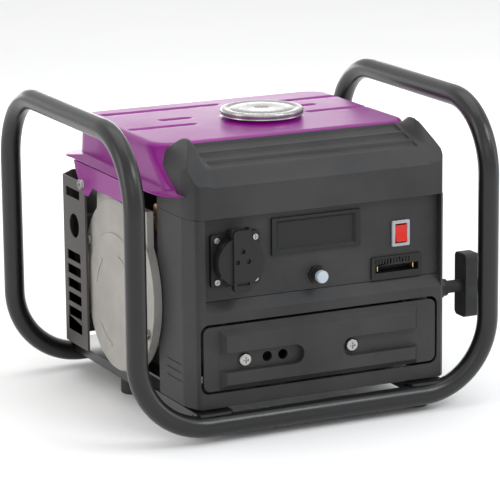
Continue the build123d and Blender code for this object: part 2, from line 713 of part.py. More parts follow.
# Choke: a spindle through the carburettor with a lever on the right.
CHOKE = (CARB_Y[0] + 7, INTAKE_Z)
with BuildPart() as choke_lever:
    with BuildSketch(side_plane(INTAKE_X + 1)):
        with Locations(CHOKE):
            Circle(3.0)
    extrude(amount=34)
    with BuildSketch(side_plane(INTAKE_X + 20)):
        with Locations((CHOKE[0], CHOKE[1] + 9)):
            SlotOverall(28, 8, rotation=90)
    extrude(amount=2.5)
choke_lever.part.label = "choke_lever"
export_step(choke_lever.part, "parts/choke_lever.step")

# ================================================================== fuel tank
TANK_MID = (mid(TANK_X), mid(TANK_Y))
SLOPE_LOW, SLOPE_HIGH = (-123.5, 227.0), (-72.0, 269.7)   # tank's sloping front, Y and Z
GROOVE_DEPTH, GROOVE_W = 0.7, 9.0
GROOVES = [((-56.0, 82.0), 126), ((-63.0, 31.0), 34), ((-90.0, 0.0), 70),
           ((99.0, 68.0), 66), ((98.0, 5.0), 70)]


def tank_shape(inset, low, top):
    """Rounded box of the tank's upper half with a sloping front, as a closed solid."""
    shift = inset * 1.4
    with BuildPart() as body:
        with BuildSketch(Plane.XY.offset(low)):
            with Locations(TANK_MID):
                RectangleRounded(span(TANK_X) - 2 * inset, span(TANK_Y) - 2 * inset, 24 - inset)
        extrude(amount=top - low, taper=2)
        with BuildSketch(Plane.YZ):
            with BuildLine():
                Polyline((SLOPE_LOW[0] + shift, SLOPE_LOW[1]), (SLOPE_HIGH[0] + shift, SLOPE_HIGH[1]),
                         (SLOPE_HIGH[0] + shift, 300), (-200, 300), (-200, SLOPE_LOW[1]),
                         (SLOPE_LOW[0] + shift, SLOPE_LOW[1]))
            make_face()
        extrude(amount=400, both=True, mode=Mode.SUBTRACT)
        fillet(body.faces().sort_by(Axis.Z)[-1].edges(), 7 - inset)
    return body.part


tank_outside = tank_shape(0, FLANGE_Z, TANK_TOP)
tank_inside = tank_shape(SHEET, FLANGE_Z - 1, TANK_TOP - SHEET)
with BuildPart() as tank_upper:
    add(tank_outside)
    with BuildSketch(Plane.XY.offset(FLANGE_Z)):
        with Locations((TANK_MID[0], TANK_MID[1])):
            RectangleRounded(span(TANK_X) + 14, span(TANK_Y) + 12, 26)
        with Locations((TANK_MID[0] - 6, TANK_MID[1])):
            RectangleRounded(span(TANK_X) + 14, span(TANK_Y) + 12, 26)
        with Locations((TANK_X[0] - 6, 104)):
            Circle(9)
        with BuildLine():
            Polyline((-148, -60), (-130.2, -60), (-130.2, -124), (-137, -140), (-142, -132), (-148, -60))
        make_face()
    extrude(amount=SHEET)
    with BuildSketch(Plane.XY.offset(FLANGE_Z)):
        with Locations((mid(HOUSE_X), -135)):
            Rectangle(span(HOUSE_X) + 1.6, 29)
    extrude(amount=SHEET, mode=Mode.SUBTRACT)
    with BuildSketch(Plane.XY.offset(TANK_TOP)):
        for place, length in GROOVES:
            with Locations(place):
                SlotOverall(length, GROOVE_W)
    extrude(amount=-GROOVE_DEPTH, taper=30, mode=Mode.SUBTRACT)
    with BuildSketch(Plane.XY.offset(TANK_TOP - 1)):
        with Locations(FILLER):
            Circle(37)
    extrude(amount=3.4, taper=18)
    add(tank_inside, mode=Mode.SUBTRACT)
    with BuildSketch(Plane.XY.offset(TANK_TOP - 6)):
        with Locations(FILLER):
            Circle(NECK_R + 3.9)
    extrude(amount=12.5)
    with BuildSketch(Plane.XY.offset(TANK_TOP - 8)):
        with Locations(FILLER):
            Circle(NECK_R)
    extrude(amount=20, mode=Mode.SUBTRACT)
tank_upper.part.label = "fuel_tank_upper"
export_step(tank_upper.part, "parts/fuel_tank_upper.step")

TANK_LOW = 212.0
with BuildPart() as tank_lower:
    with BuildSketch(Plane.XY.offset(TANK_LOW)):
        with Locations((TANK_MID[0], TANK_MID[1] + 4)):
            RectangleRounded(span(TANK_X) - 36, span(TANK_Y) - 30, 20)
    extrude(amount=FLANGE_Z - TANK_LOW, taper=-18)
    with BuildSketch(Plane.XY.offset(FLANGE_Z - SHEET)):
        with Locations(TANK_MID):
            RectangleRounded(span(TANK_X) + 10, span(TANK_Y) + 6, 25)
    extrude(amount=SHEET - 0.05)
    with BuildSketch(Plane.XY.offset(TANK_LOW + SHEET)):
        with Locations((TANK_MID[0], TANK_MID[1] + 4)):
            RectangleRounded(span(TANK_X) - 36 - 2 * SHEET, span(TANK_Y) - 30 - 2 * SHEET, 19)
    extrude(amount=FLANGE_Z - TANK_LOW, taper=-18, mode=Mode.SUBTRACT)
tank_lower.part.label = "fuel_tank_lower"
export_step(tank_lower.part, "parts/fuel_tank_lower.step")

# Skirt: folded strip under the left flange, with a hanging tab for the screw.
SKIRT_X, SKIRT_Z = -147.2, (206.5, 226.6)
SKIRT_SCREW = (65.4, 206.0)
with BuildPart() as tank_skirt:
    with BuildSketch(side_plane(SKIRT_X)):
        with BuildLine():
            Polyline((-64, SKIRT_Z[1]), (86, SKIRT_Z[1]), (82, 218), (75, 209), (71, 200), (62, 196.4),
                     (52, 196.4), (45, 202.5), (40, SKIRT_Z[0]), (-64, SKIRT_Z[0]), (-64, SKIRT_Z[1]))
        make_face()
        with Locations(SKIRT_SCREW):
            Circle(2.6, mode=Mode.SUBTRACT)
    extrude(amount=SHEET)
    with BuildSketch(Plane.XY.offset(SKIRT_Z[1] - SHEET)):
        with Locations((SKIRT_X + 5, 11)):
            Rectangle(10, 150)
    extrude(amount=SHEET)
tank_skirt.part.label = "tank_skirt"
export_step(tank_skirt.part, "parts/tank_skirt.step")

with BuildPart() as skirt_screws:
    with BuildSketch(side_plane(SKIRT_X)):
        with Locations(SKIRT_SCREW):
            Circle(5.6)
    extrude(amount=-3.6, taper=12)
    with BuildSketch(side_plane(SKIRT_X - 3.6)):
        with Locations(SKIRT_SCREW):
            Rectangle(6.4, 1.2)
            Rectangle(1.2, 6.4)
    extrude(amount=1.4, mode=Mode.SUBTRACT)
skirt_screws.part.label = "skirt_screw"
export_step(skirt_screws.part, "parts/skirt_screw.step")

with BuildPart() as fuel_strainer:
    with BuildSketch(Plane.XY.offset(TANK_TOP - 28)):
        with Locations(FILLER):
            Circle(NECK_R - 0.6)
            Circle(NECK_R - 1.8, mode=Mode.SUBTRACT)
    extrude(amount=30)
    with BuildSketch(Plane.XY.offset(TANK_TOP - 26)):
        with Locations(FILLER):
            with PolarLocations(NECK_R, 12):
                Rectangle(8, 6)
    extrude(amount=16, mode=Mode.SUBTRACT)
fuel_strainer.part.label = "fuel_strainer"
export_step(fuel_strainer.part, "parts/fuel_strainer.step")

NECK_TOP = TANK_TOP + 6.5
with BuildPart() as cap_gasket:
    with BuildSketch(Plane.XY.offset(NECK_TOP + 0.05)):
        with Locations(FILLER):
            Circle(NECK_R + 5)
            Circle(NECK_R - 3, mode=Mode.SUBTRACT)
    extrude(amount=1.2)
cap_gasket.part.label = "cap_gasket"
export_step(cap_gasket.part, "parts/cap_gasket.step")

CAP_R, CAP_LOW = 40.5, TANK_TOP + 2.9
CAP_TOP = NECK_TOP + 3.1
with BuildPart() as fuel_cap:
    with BuildSketch(Plane.XY.offset(CAP_LOW)):
        with Locations(FILLER):
            Circle(CAP_R)
    extrude(amount=CAP_TOP - CAP_LOW)
    fillet(fuel_cap.faces().sort_by(Axis.Z)[-1].edges(), 1.8)
    with BuildSketch(Plane.XY.offset(CAP_TOP)):
        with Locations(FILLER):
            Circle(33)
            Circle(30.5, mode=Mode.SUBTRACT)
    extrude(amount=-0.7, mode=Mode.SUBTRACT)
    with BuildSketch(Plane.XY.offset(CAP_LOW)):
        with Locations(FILLER):
            Circle(CAP_R - 1.4)
    extrude(amount=NECK_TOP + 1.3 - CAP_LOW, mode=Mode.SUBTRACT)
fuel_cap.part.label = "fuel_cap"
export_step(fuel_cap.part, "parts/fuel_cap.step")

# Fuel tap under the tank's front left corner, its lever and the hose to the carburettor.
TAP = (-112.0, -62.0)
TAP_Z = 203.0
with BuildPart() as fuel_tap:
    with BuildSketch(Plane.XY.offset(TAP_Z - 8)):
        with Locations(TAP):
            Circle(7)
    extrude(amount=TANK_LOW - TAP_Z + 7.9)
    with BuildSketch(side_plane(TAP[0] - 12)):
        with Locations((TAP[1], TAP_Z)):
            Circle(5.2)
    extrude(amount=12)
    with BuildSketch(Plane.XY.offset(TAP_Z - 16)):
        with Locations(TAP):
            Circle(2.6)
    extrude(amount=9)
    with BuildSketch(side_plane(TAP[0] - 12)):
        with Locations((TAP[1], TAP_Z)):
            Circle(2.05)
    extrude(amount=8, mode=Mode.SUBTRACT)
fuel_tap.part.label = "fuel_tap"
export_step(fuel_tap.part, "parts/fuel_tap.step")

with BuildPart() as tap_lever:
    with BuildSketch(side_plane(TAP[0] - 14.2)):
        with Locations((TAP[1], TAP_Z)):
            Circle(6)
        with Locations((TAP[1], TAP_Z - 9)):
            SlotOverall(22, 6, rotation=90)
    extrude(amount=2)
    with BuildSketch(side_plane(TAP[0] - 12.3)):
        with Locations((TAP[1], TAP_Z)):
            Circle(2)
    extrude(amount=7.5)
tap_lever.part.label = "fuel_tap_lever"
export_step(tap_lever.part, "parts/fuel_tap_lever.step")

HOSE_R = 3.4
HOSE_POINTS = [(TAP[0], TAP[1], TAP_Z - 8.3), (TAP[0], TAP[1], TAP_Z - 40),
               (TAP[0] + 32, TAP[1] - 6, TAP_Z - 56), (-46, -64, 141), (INTAKE_X - 19, -61, 158)]
with BuildPart() as fuel_hose:
    with BuildLine():
        FilletPolyline(*HOSE_POINTS, radius=17)
    with BuildSketch(Plane(origin=HOSE_POINTS[0], z_dir=(0, 0, -1))):
        Circle(HOSE_R)
        Circle(HOSE_R - 0.7, mode=Mode.SUBTRACT)
    sweep()
fuel_hose.part.label = "fuel_hose"
export_step(fuel_hose.part, "parts/fuel_hose.step")

# ================================================================== front housing and hood


def outline(inset, rear):
    """Plan of the housing, moved inwards by the wall, open or closed at the rear."""
    left, right, front = HOUSE_X[0] + inset, HOUSE_X[1] - inset, HOUSE_FRONT + inset
    return [(left, rear), (left, -124 + inset * 0.4), (-122.5 + inset * 0.8, front),
            (131 - inset * 0.4, front), (right, -142 + inset * 0.6), (right, rear), (left, rear)]


with BuildPart() as front_housing:
    with BuildSketch(Plane.XY.offset(HOUSE_LOW)):
        with BuildLine():
            Polyline(*outline(0, HOUSE_REAR))
        make_face()
        fillet(vertices().group_by(Axis.Y)[0].sort_by(Axis.X)[0], 6)
        fillet(vertices().sort_by(Axis.X)[:2].sort_by(Axis.Y)[0], 14)
    extrude(amount=SEAM_Z - HOUSE_LOW)
    with BuildSketch(Plane.XY.offset(HOUSE_LOW + WALL)):
        with BuildLine():
            Polyline(*outline(WALL, HOUSE_REAR + 5))
        make_face()
    extrude(amount=SEAM_Z - HOUSE_LOW, mode=Mode.SUBTRACT)
    # panel recess: window through the wall, with a floor and a sloping ledge below
    with BuildSketch(front_plane(HOUSE_FRONT - 1)):
        with Locations((mid(PANEL_X), mid(PANEL_Z) + 5)):
            Rectangle(span(PANEL_X), span(PANEL_Z) + 10)
    extrude(amount=-20, mode=Mode.SUBTRACT)
    with BuildSketch(front_plane(PANEL_FACE + PANEL_T + WALL)):
        with Locations((mid(PANEL_X), mid(PANEL_Z) - 2)):
            Rectangle(span(PANEL_X) + 6, span(PANEL_Z) + 4)
        with Locations((mid(PANEL_X), mid(PANEL_Z) + 3)):
            Rectangle(span(PANEL_X) - 10, span(PANEL_Z) - 20, mode=Mode.SUBTRACT)
    extrude(amount=WALL)
    for x, width in ((PANEL_X[0] - WALL / 2, WALL), (PANEL_X[1] + WALL / 2, WALL)):
        with BuildSketch(front_plane(PANEL_FACE + PANEL_T)):
            with Locations((x, mid(PANEL_Z) - 2)):
                Rectangle(width, span(PANEL_Z) + 4)
        extrude(amount=abs(HOUSE_FRONT - PANEL_FACE - PANEL_T) - WALL + 0.4)
    with BuildSketch(Plane.YZ.offset(PANEL_X[0])):
        with BuildLine():
            Polyline((HOUSE_FRONT, 118), (-135.5, 118), (-135.5, 129.4), (PANEL_FACE + 0.05, 129.4),
                     (HOUSE_FRONT, 119.4), (HOUSE_FRONT, 118))
        make_face()
    extrude(amount=span(PANEL_X))
    # notch for the starter's rope outlet
    with BuildSketch(side_plane(HOUSE_X[1] - 5)):
        with Locations((HOUSE_REAR - 16, HANDLE[1])):
            Rectangle(56, 27)
    extrude(amount=8, mode=Mode.SUBTRACT)
    # pocket of the lower cover
    with BuildSketch(front_plane(HOUSE_FRONT - 1)):
        with Locations((mid(COVER_X), mid(COVER_Z))):
            RectangleRounded(span(COVER_X), span(COVER_Z), 8)
    extrude(amount=-1 - WALL - 1, mode=Mode.SUBTRACT)
    # three fine grooves round the lower left corner
    for level in (52.0, 60.0, 68.0):
        with BuildSketch(Plane.XY.offset(level)):
            with BuildLine():
                Polyline((HOUSE_X[0] - 1, -88), (HOUSE_X[0] + 0.7, -90), (HOUSE_X[0] + 0.7, -120),
                         (HOUSE_X[0] - 1, -122), (HOUSE_X[0] - 1, -88))
            make_face()
        extrude(amount=1.6, mode=Mode.SUBTRACT)
front_housing.part.label = "front_housing"
export_step(front_housing.part, "parts/front_housing.step")

DECK_FRONT, DECK_REAR = (-135.5, 253.6), (-84.0, 267.6)
TRAY_X = (-104.0, 116.0)
HOOD_PROFILE = [(HOUSE_FRONT, SEAM_Z + 0.3), (HOUSE_FRONT, 237), (-136, 253), (-114, 277),
                (-100, 278), (-79.5, 265), (-121.5, 230.2), (-121.5, 226.4), (HOUSE_REAR, 226.4),
                (HOUSE_REAR, SEAM_Z + 0.3), (HOUSE_FRONT, SEAM_Z + 0.3)]
HOOD_INSIDE = [(HOUSE_FRONT + WALL, 200), (HOUSE_FRONT + WALL, 236), (-133.5, 250.2),
               (DECK_REAR[0] + 20, 267.6), (-60, 200), (HOUSE_FRONT + WALL, 200)]


with BuildPart() as hood_core:
    with BuildSketch(Plane.YZ.offset(HOUSE_X[0])):
        with BuildLine():
            Polyline(*HOOD_INSIDE)
        make_face()
    extrude(amount=span(HOUSE_X))
    with BuildSketch(Plane.XY.offset(150)):
        with BuildLine():
            Polyline(*outline(WALL, HOUSE_REAR + 20))
        make_face()
    extrude(amount=150, mode=Mode.INTERSECT)

with BuildPart() as top_hood:
    with BuildSketch(Plane.YZ.offset(HOUSE_X[0])):
        with BuildLine():
            Polyline(*HOOD_PROFILE)
        make_face()
    extrude(amount=span(HOUSE_X))
    with BuildSketch(Plane.XY.offset(200)):
        with BuildLine():
            Polyline(*outline(0, HOUSE_REAR))
        make_face()
        fillet(vertices().group_by(Axis.Y)[0].sort_by(Axis.X)[0], 6)
        fillet(vertices().sort_by(Axis.X)[:2].sort_by(Axis.Y)[0], 14)
    extrude(amount=90, mode=Mode.INTERSECT)
    # tray between the cheeks, then its three long grooves
    with BuildSketch(Plane.YZ.offset(TRAY_X[0])):
        with BuildLine():
            Polyline(DECK_FRONT, DECK_REAR, (DECK_REAR[0] + 30, 300), (DECK_FRONT[0] - 12, 300), DECK_FRONT)
        make_face()
    extrude(amount=span(TRAY_X) + 6, mode=Mode.SUBTRACT)
    add(hood_core.part, mode=Mode.SUBTRACT)
    for x, tip in ((HOUSE_X[0], -1), (HOUSE_X[1], 1)):
        with BuildSketch(Plane.XZ.offset(60)):
            with BuildLine():
                Polyline((x + tip, 250), (x + tip, 290), (x - tip * 20, 290), (x + tip, 250))
            make_face()
        extrude(amount=100, mode=Mode.SUBTRACT)
top_hood.part.label = "top_hood"
export_step(top_hood.part, "parts/top_hood.step")

# ================================================================== control panel
SOCKET = (-82.5, 168.0)                 # centre of the mains outlet, X and Z
SOCKET_SIZE, SOCKET_BOLT = 50.0, 39.0
METER = (1.5, 184.0)
METER_W, METER_H = 92.0, 35.0
BREAKER = (2.0, 143.5)
ROCKER = (91.0, 173.3)
ROCKER_W, ROCKER_H = 19.0, 25.0
DC = (86.5, 141.4)
DC_W, DC_H = 54.0, 22.0

with BuildPart() as control_panel:
    with BuildSketch(front_plane(PANEL_FACE + PANEL_T)):
        with Locations((mid(PANEL_X), mid((130.0, 207.6)))):
            Rectangle(span(PANEL_X) - 0.6, 77.6)
        with Locations(SOCKET):
            Circle(20.2, mode=Mode.SUBTRACT)
            with GridLocations(SOCKET_BOLT, SOCKET_BOLT, 2, 2):
                Circle(1.6, mode=Mode.SUBTRACT)
        with Locations(METER):
            Rectangle(METER_W - 8, METER_H - 8, mode=Mode.SUBTRACT)
        with Locations(BREAKER):
            Circle(5.2, mode=Mode.SUBTRACT)
        with Locations(ROCKER):
            Rectangle(ROCKER_W - 3, ROCKER_H - 3, mode=Mode.SUBTRACT)
        with Locations(DC):
            Rectangle(DC_W - 4, DC_H - 8, mode=Mode.SUBTRACT)
    extrude(amount=PANEL_T)
control_panel.part.label = "control_panel"
export_step(control_panel.part, "parts/control_panel.step")

PIN = (PANEL_FACE - 10, SOCKET[1] + 27.2)   # lid's hinge pin, Y and Z
PIN_R = 1.4
# Mains outlet: square flange with a round well, two contact tubes and side earth clips.
with BuildPart() as socket_body:
    with BuildSketch(front_plane(PANEL_FACE - 0.05)):
        with Locations(SOCKET):
            RectangleRounded(SOCKET_SIZE, SOCKET_SIZE, 3)
    extrude(amount=4)
    with BuildSketch(front_plane(PANEL_FACE - 4)):
        with Locations(SOCKET):
            Circle(23.5)
    extrude(amount=9)
    with BuildSketch(front_plane(PANEL_FACE - 0.05)):
        with Locations(SOCKET):
            Circle(20)
    extrude(amount=-14)
    with BuildSketch(front_plane(PANEL_FACE - 13)):
        with Locations(SOCKET):
            Circle(19.4)
    extrude(amount=-24, mode=Mode.SUBTRACT)
    with BuildSketch(front_plane(PANEL_FACE + 12)):
        with Locations(SOCKET):
            with GridLocations(19, 1, 2, 1):
                Circle(2.6, mode=Mode.ADD)
    extrude(amount=-1.9, mode=Mode.SUBTRACT)
    with BuildSketch(front_plane(PANEL_FACE)):
        with Locations(SOCKET):
            with GridLocations(SOCKET_BOLT, SOCKET_BOLT, 2, 2):
                Circle(1.6)
    extrude(amount=6, mode=Mode.SUBTRACT)
    with BuildSketch(side_plane(SOCKET[0] - 7)):
        with Locations((mid((PIN[0], PANEL_FACE - 0.05)), PIN[1] - 2.9)):
            Rectangle(PANEL_FACE - 0.05 - PIN[0], 5.8)
        with Locations(PIN):
            Circle(3.0)
    extrude(amount=14)
    with BuildSketch(side_plane(SOCKET[0] - 9.9)):
        with Locations(PIN):
            Circle(PIN_R)
    extrude(amount=19.8)
socket_body.part.label = "socket_body"
export_step(socket_body.part, "parts/socket_body.step")

# Spring lid: disc with a raised strap, hinged on a pin above the well.
LID_BACK = PANEL_FACE - 13.4
with BuildPart() as socket_lid:
    with BuildSketch(front_plane(LID_BACK)):
        with Locations(SOCKET):
            Circle(23.5)
    extrude(amount=4)
    fillet(socket_lid.faces().filter_by(Axis.Y).sort_by(Axis.Y)[0].edges(), 1.5)
    with BuildSketch(front_plane(LID_BACK)):
        with Locations((SOCKET[0], SOCKET[1] + 1)):
            RectangleRounded(18, 58, 4)
    extrude(amount=6.4)
    with BuildSketch(front_plane(LID_BACK - 4.4)):
        with Locations((SOCKET[0], SOCKET[1] - 20)):
            Rectangle(13, 3)
        with Locations((SOCKET[0], SOCKET[1] + 4)):
            with PolarLocations(6.5, 3, start_angle=90):
                Circle(2.4)
    extrude(amount=3.2, mode=Mode.SUBTRACT)
    for x in (SOCKET[0] - 9.9, SOCKET[0] + 7.3):
        with BuildSketch(side_plane(x)):
            with Locations(PIN):
                Circle(3.6)
            with Locations((PIN[0] - 3.4, PIN[1])):
                Rectangle(6.8, 7.2)
        extrude(amount=2.6)
    with BuildSketch(side_plane(SOCKET[0] - 10)):
        with Locations(PIN):
            Circle(PIN_R + 0.05)
    extrude(amount=20, mode=Mode.SUBTRACT)
socket_lid.part.label = "socket_lid"
export_step(socket_lid.part, "parts/socket_lid.step")

with BuildPart() as meter_bezel:
    with BuildSketch(front_plane(PANEL_FACE - 0.05)):
        with Locations(METER):
            Rectangle(METER_W, METER_H)
            Rectangle(METER_W - 14, METER_H - 10, mode=Mode.SUBTRACT)
    extrude(amount=2.4)
    chamfer(meter_bezel.faces().filter_by(Axis.Y).sort_by(Axis.Y)[0].inner_wires()[0].edges(), 2.2)
meter_bezel.part.label = "meter_bezel"
export_step(meter_bezel.part, "parts/meter_bezel.step")

with BuildPart() as meter_plate:
    with BuildSketch(front_plane(PANEL_FACE + 1.2)):
        with Locations(METER):
            Rectangle(METER_W - 9, METER_H - 9)
    extrude(amount=1.2)
meter_plate.part.label = "meter_plate"
export_step(meter_plate.part, "parts/meter_plate.step")

with BuildPart() as breaker_body:
    with BuildSketch(front_plane(PANEL_FACE - 0.05)):
        with Locations(BREAKER):
            RegularPolygon(9, 6)
    extrude(amount=3)
    with BuildSketch(front_plane(PANEL_FACE - 3)):
        with Locations(BREAKER):
            Circle(6.8)
    extrude(amount=3)
    with BuildSketch(front_plane(PANEL_FACE + PANEL_T + 0.05)):
        with Locations(BREAKER):
            Rectangle(16, 23)
    extrude(amount=-22)
    with BuildSketch(front_plane(PANEL_FACE + PANEL_T + 1)):
        with Locations(BREAKER):
            Circle(5)
    extrude(amount=8)
    with BuildSketch(front_plane(PANEL_FACE - 6.1)):
        with Locations(BREAKER):
            Circle(4.1)
    extrude(amount=-16, mode=Mode.SUBTRACT)
breaker_body.part.label = "breaker_body"
export_step(breaker_body.part, "parts/breaker_body.step")

BUTTON_TRAVEL = 3.0
with BuildPart() as breaker_button:
    with BuildSketch(front_plane(PANEL_FACE - 6 - BUTTON_TRAVEL - 0.4)):
        with Locations(BREAKER):
            Circle(6)
    extrude(amount=5)
    fillet(breaker_button.faces().filter_by(Axis.Y).sort_by(Axis.Y)[0].edges(), 1.4)
    with BuildSketch(front_plane(PANEL_FACE - 6 - BUTTON_TRAVEL - 0.4)):
        with Locations(BREAKER):
            Circle(4.05)
    extrude(amount=-9)
breaker_button.part.label = "breaker_button"
export_step(breaker_button.part, "parts/breaker_button.step")

with BuildPart() as rocker_bezel:
    with BuildSketch(front_plane(PANEL_FACE - 0.05)):
        with Locations(ROCKER):
            RectangleRounded(ROCKER_W, ROCKER_H, 1.5)
    extrude(amount=2.2)
    fillet(rocker_bezel.faces().filter_by(Axis.Y).sort_by(Axis.Y)[0].edges(), 1.0)
    with BuildSketch(front_plane(PANEL_FACE - 0.1)):
        with Locations(ROCKER):
            Rectangle(ROCKER_W - 3.4, ROCKER_H - 3.4)
    extrude(amount=-20)
    with BuildSketch(front_plane(PANEL_FACE - 2.3)):
        with Locations(ROCKER):
            Rectangle(ROCKER_W - 6.4, ROCKER_H - 6.4)
    extrude(amount=-18, mode=Mode.SUBTRACT)
rocker_bezel.part.label = "rocker_bezel"
export_step(rocker_bezel.part, "parts/rocker_bezel.step")

# Rocker: shallow V face, pivoting about X at its middle.
half = (ROCKER_H - 9.4) / 2
with BuildPart() as rocker:
    with BuildSketch(side_plane(ROCKER[0] - (ROCKER_W - 7) / 2)):
        with BuildLine():
            Polyline((PANEL_FACE + 0.4, ROCKER[1] - half), (PANEL_FACE - 4.2, ROCKER[1] - half),
                     (PANEL_FACE - 1.6, ROCKER[1] + 1), (PANEL_FACE - 2.2, ROCKER[1] + half),
                     (PANEL_FACE + 0.4, ROCKER[1] + half), (PANEL_FACE + 5.6, ROCKER[1] + 4),
                     (PANEL_FACE + 9, ROCKER[1]), (PANEL_FACE + 5.6, ROCKER[1] - 4),
                     (PANEL_FACE + 0.4, ROCKER[1] - half))
        make_face()
    extrude(amount=ROCKER_W - 7)
rocker.part.label = "rocker_switch"
export_step(rocker.part, "parts/rocker_switch.step")

# Low-voltage outlet: a shallow tray with a slot, and two brass contacts in it.
with BuildPart() as dc_socket:
    with BuildSketch(front_plane(PANEL_FACE - 0.05)):
        with Locations(DC):
            RectangleRounded(DC_W, DC_H, 2)
    extrude(amount=2)
    with BuildSketch(front_plane(PANEL_FACE - 1)):
        with Locations(DC):
            Rectangle(DC_W - 4.4, DC_H - 8.4)
    extrude(amount=-16)
    with BuildSketch(front_plane(PANEL_FACE - 2.1)):
        with Locations((DC[0], DC[1] - 1)):
            Rectangle(DC_W - 8, 7)
    extrude(amount=-14, mode=Mode.SUBTRACT)
    with BuildSketch(front_plane(PANEL_FACE - 2.05)):
        with Locations((DC[0] - 4, DC[1] + 6.6)):
            with GridLocations(3.2, 1, 12, 1):
                Rectangle(1.6, 4.6)
    extrude(amount=1)
dc_socket.part.label = "dc_socket"
export_step(dc_socket.part, "parts/dc_socket.step")

with BuildPart() as dc_contacts:
    for x in (-19.0, 19.0):
        with BuildSketch(front_plane(PANEL_FACE + 11.8)):
            with Locations((DC[0] + x, DC[1] - 1)):
                Rectangle(1.2, 5)
        extrude(amount=10.5)
dc_contacts.part.label = "dc_contacts"
export_step(dc_contacts.part, "parts/dc_contacts.step")

# ================================================================== lower cover
GAP = 2.6
LIFT = 6.5                              # how far the raised middle stands out
SLOT_Z, SLOT_W = 73.5, 16.5
COVER_SCREWS = ((-77.0, SLOT_Z), (34.0, SLOT_Z))
with BuildPart() as lower_cover:
    with BuildSketch(front_plane(HOUSE_FRONT + 2.6)):
        with Locations((mid(COVER_X), mid(COVER_Z))):
            RectangleRounded(span(COVER_X) - 2 * GAP, span(COVER_Z) - 2 * GAP, 6.5)
    extrude(amount=3)
    with BuildSketch(front_plane(HOUSE_FRONT - 0.4)):
        with Locations((mid(COVER_X) - 2, mid(COVER_Z) - 1.5)):
            Rectangle(span(COVER_X) - 40, span(COVER_Z) - 9)
    extrude(amount=LIFT, taper=40)
    for first, last, flip in ((-118.0, -19.0, 1), (124.0, 24.0, -1)):
        length = abs(last - first)
        with BuildSketch(front_plane(HOUSE_FRONT - 0.8)):
            with Locations(((first + last) / 2 - flip * 10, SLOT_Z)):
                SlotOverall(length + 20, SLOT_W)
        extrude(amount=20, taper=-10, mode=Mode.SUBTRACT)
    with BuildSketch(front_plane(HOUSE_FRONT - 5)):
        with Locations((-53.4, SLOT_Z), (-37.2, SLOT_Z)):
            Circle(4.9)
        with Locations(*COVER_SCREWS):
            Circle(2.7)
    extrude(amount=-12, mode=Mode.SUBTRACT)
lower_cover.part.label = "lower_cover"
export_step(lower_cover.part, "parts/lower_cover.step")

# Pan-head cross screws: two large ones in the cover, four small ones round the outlet.
with BuildPart() as panel_screws:
    with BuildSketch(front_plane(HOUSE_FRONT - 0.85)):
        with Locations(*COVER_SCREWS):
            Circle(6.3)
    extrude(amount=3.6)
    fillet(panel_screws.faces().filter_by(Axis.Y).group_by(Axis.Y)[0].edges(), 2.2)
    with BuildSketch(front_plane(PANEL_FACE - 4.1)):
        with Locations(SOCKET):
            with GridLocations(SOCKET_BOLT, SOCKET_BOLT, 2, 2):
                Circle(3.4)
    extrude(amount=1.8, taper=20)
    with BuildSketch(front_plane(HOUSE_FRONT - 0.85)):
        with Locations(*COVER_SCREWS):
            Circle(2.5)
    extrude(amount=-8)
    with BuildSketch(front_plane(PANEL_FACE - 4.1)):
        with Locations(SOCKET):
            with GridLocations(SOCKET_BOLT, SOCKET_BOLT, 2, 2):
                Circle(1.5)
    extrude(amount=-9)
    with BuildSketch(front_plane(HOUSE_FRONT - 4.5)):
        with Locations(*COVER_SCREWS):
            Rectangle(6, 1.3)
            Rectangle(1.3, 6)
    extrude(amount=-1.6, mode=Mode.SUBTRACT)
    with BuildSketch(front_plane(PANEL_FACE - 5.95)):
        with Locations(SOCKET):
            with GridLocations(SOCKET_BOLT, SOCKET_BOLT, 2, 2):
                Rectangle(4, 0.8)
                Rectangle(0.8, 4)
    extrude(amount=-1, mode=Mode.SUBTRACT)
panel_screws.part.label = "panel_screws"
export_step(panel_screws.part, "parts/panel_screws.step")
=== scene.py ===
"""Looks of the portable generator: finishes for its CAD nodes, pressed and moulded detail, light and camera.

Metres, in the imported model's frame: +X along the panel, the panel faces -Y, +Z up, ground at Z = 0.
"""
import json
from math import atan2, cos, exp, hypot, pi, radians, sin

import bmesh
import bpy
from mathutils import Matrix, Vector


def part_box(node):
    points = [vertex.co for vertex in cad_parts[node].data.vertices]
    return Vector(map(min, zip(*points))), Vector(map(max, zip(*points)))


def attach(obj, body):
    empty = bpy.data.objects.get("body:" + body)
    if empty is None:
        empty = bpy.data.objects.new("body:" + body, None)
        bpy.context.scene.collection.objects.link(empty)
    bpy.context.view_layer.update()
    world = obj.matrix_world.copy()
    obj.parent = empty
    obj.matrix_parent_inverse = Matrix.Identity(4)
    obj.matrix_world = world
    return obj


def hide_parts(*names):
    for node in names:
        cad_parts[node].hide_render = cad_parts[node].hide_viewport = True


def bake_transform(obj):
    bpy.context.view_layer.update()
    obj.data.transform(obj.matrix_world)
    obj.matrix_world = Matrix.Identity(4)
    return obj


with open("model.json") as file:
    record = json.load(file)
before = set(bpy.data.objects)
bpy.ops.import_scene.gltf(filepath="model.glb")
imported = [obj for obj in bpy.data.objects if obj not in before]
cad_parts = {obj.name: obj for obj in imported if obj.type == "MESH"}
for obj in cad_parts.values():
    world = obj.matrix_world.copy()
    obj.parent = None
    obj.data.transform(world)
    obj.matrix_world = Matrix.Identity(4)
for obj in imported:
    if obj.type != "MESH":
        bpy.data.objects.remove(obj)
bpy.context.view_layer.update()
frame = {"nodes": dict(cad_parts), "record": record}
NODES = frame["nodes"]
MM = 0.001
WHITE = (1.0, 1.0, 1.0, 1.0)


# ------------------------------------------------------------------ shader helpers
def shade(grey):
    """A grey as a linear colour."""
    return (grey, grey, grey, 1.0)


def rgba(colour, gain=1.0):
    """A linear colour, made lighter or darker by a factor."""
    return tuple(min(c * gain, 1.0) for c in colour) + (1.0,)


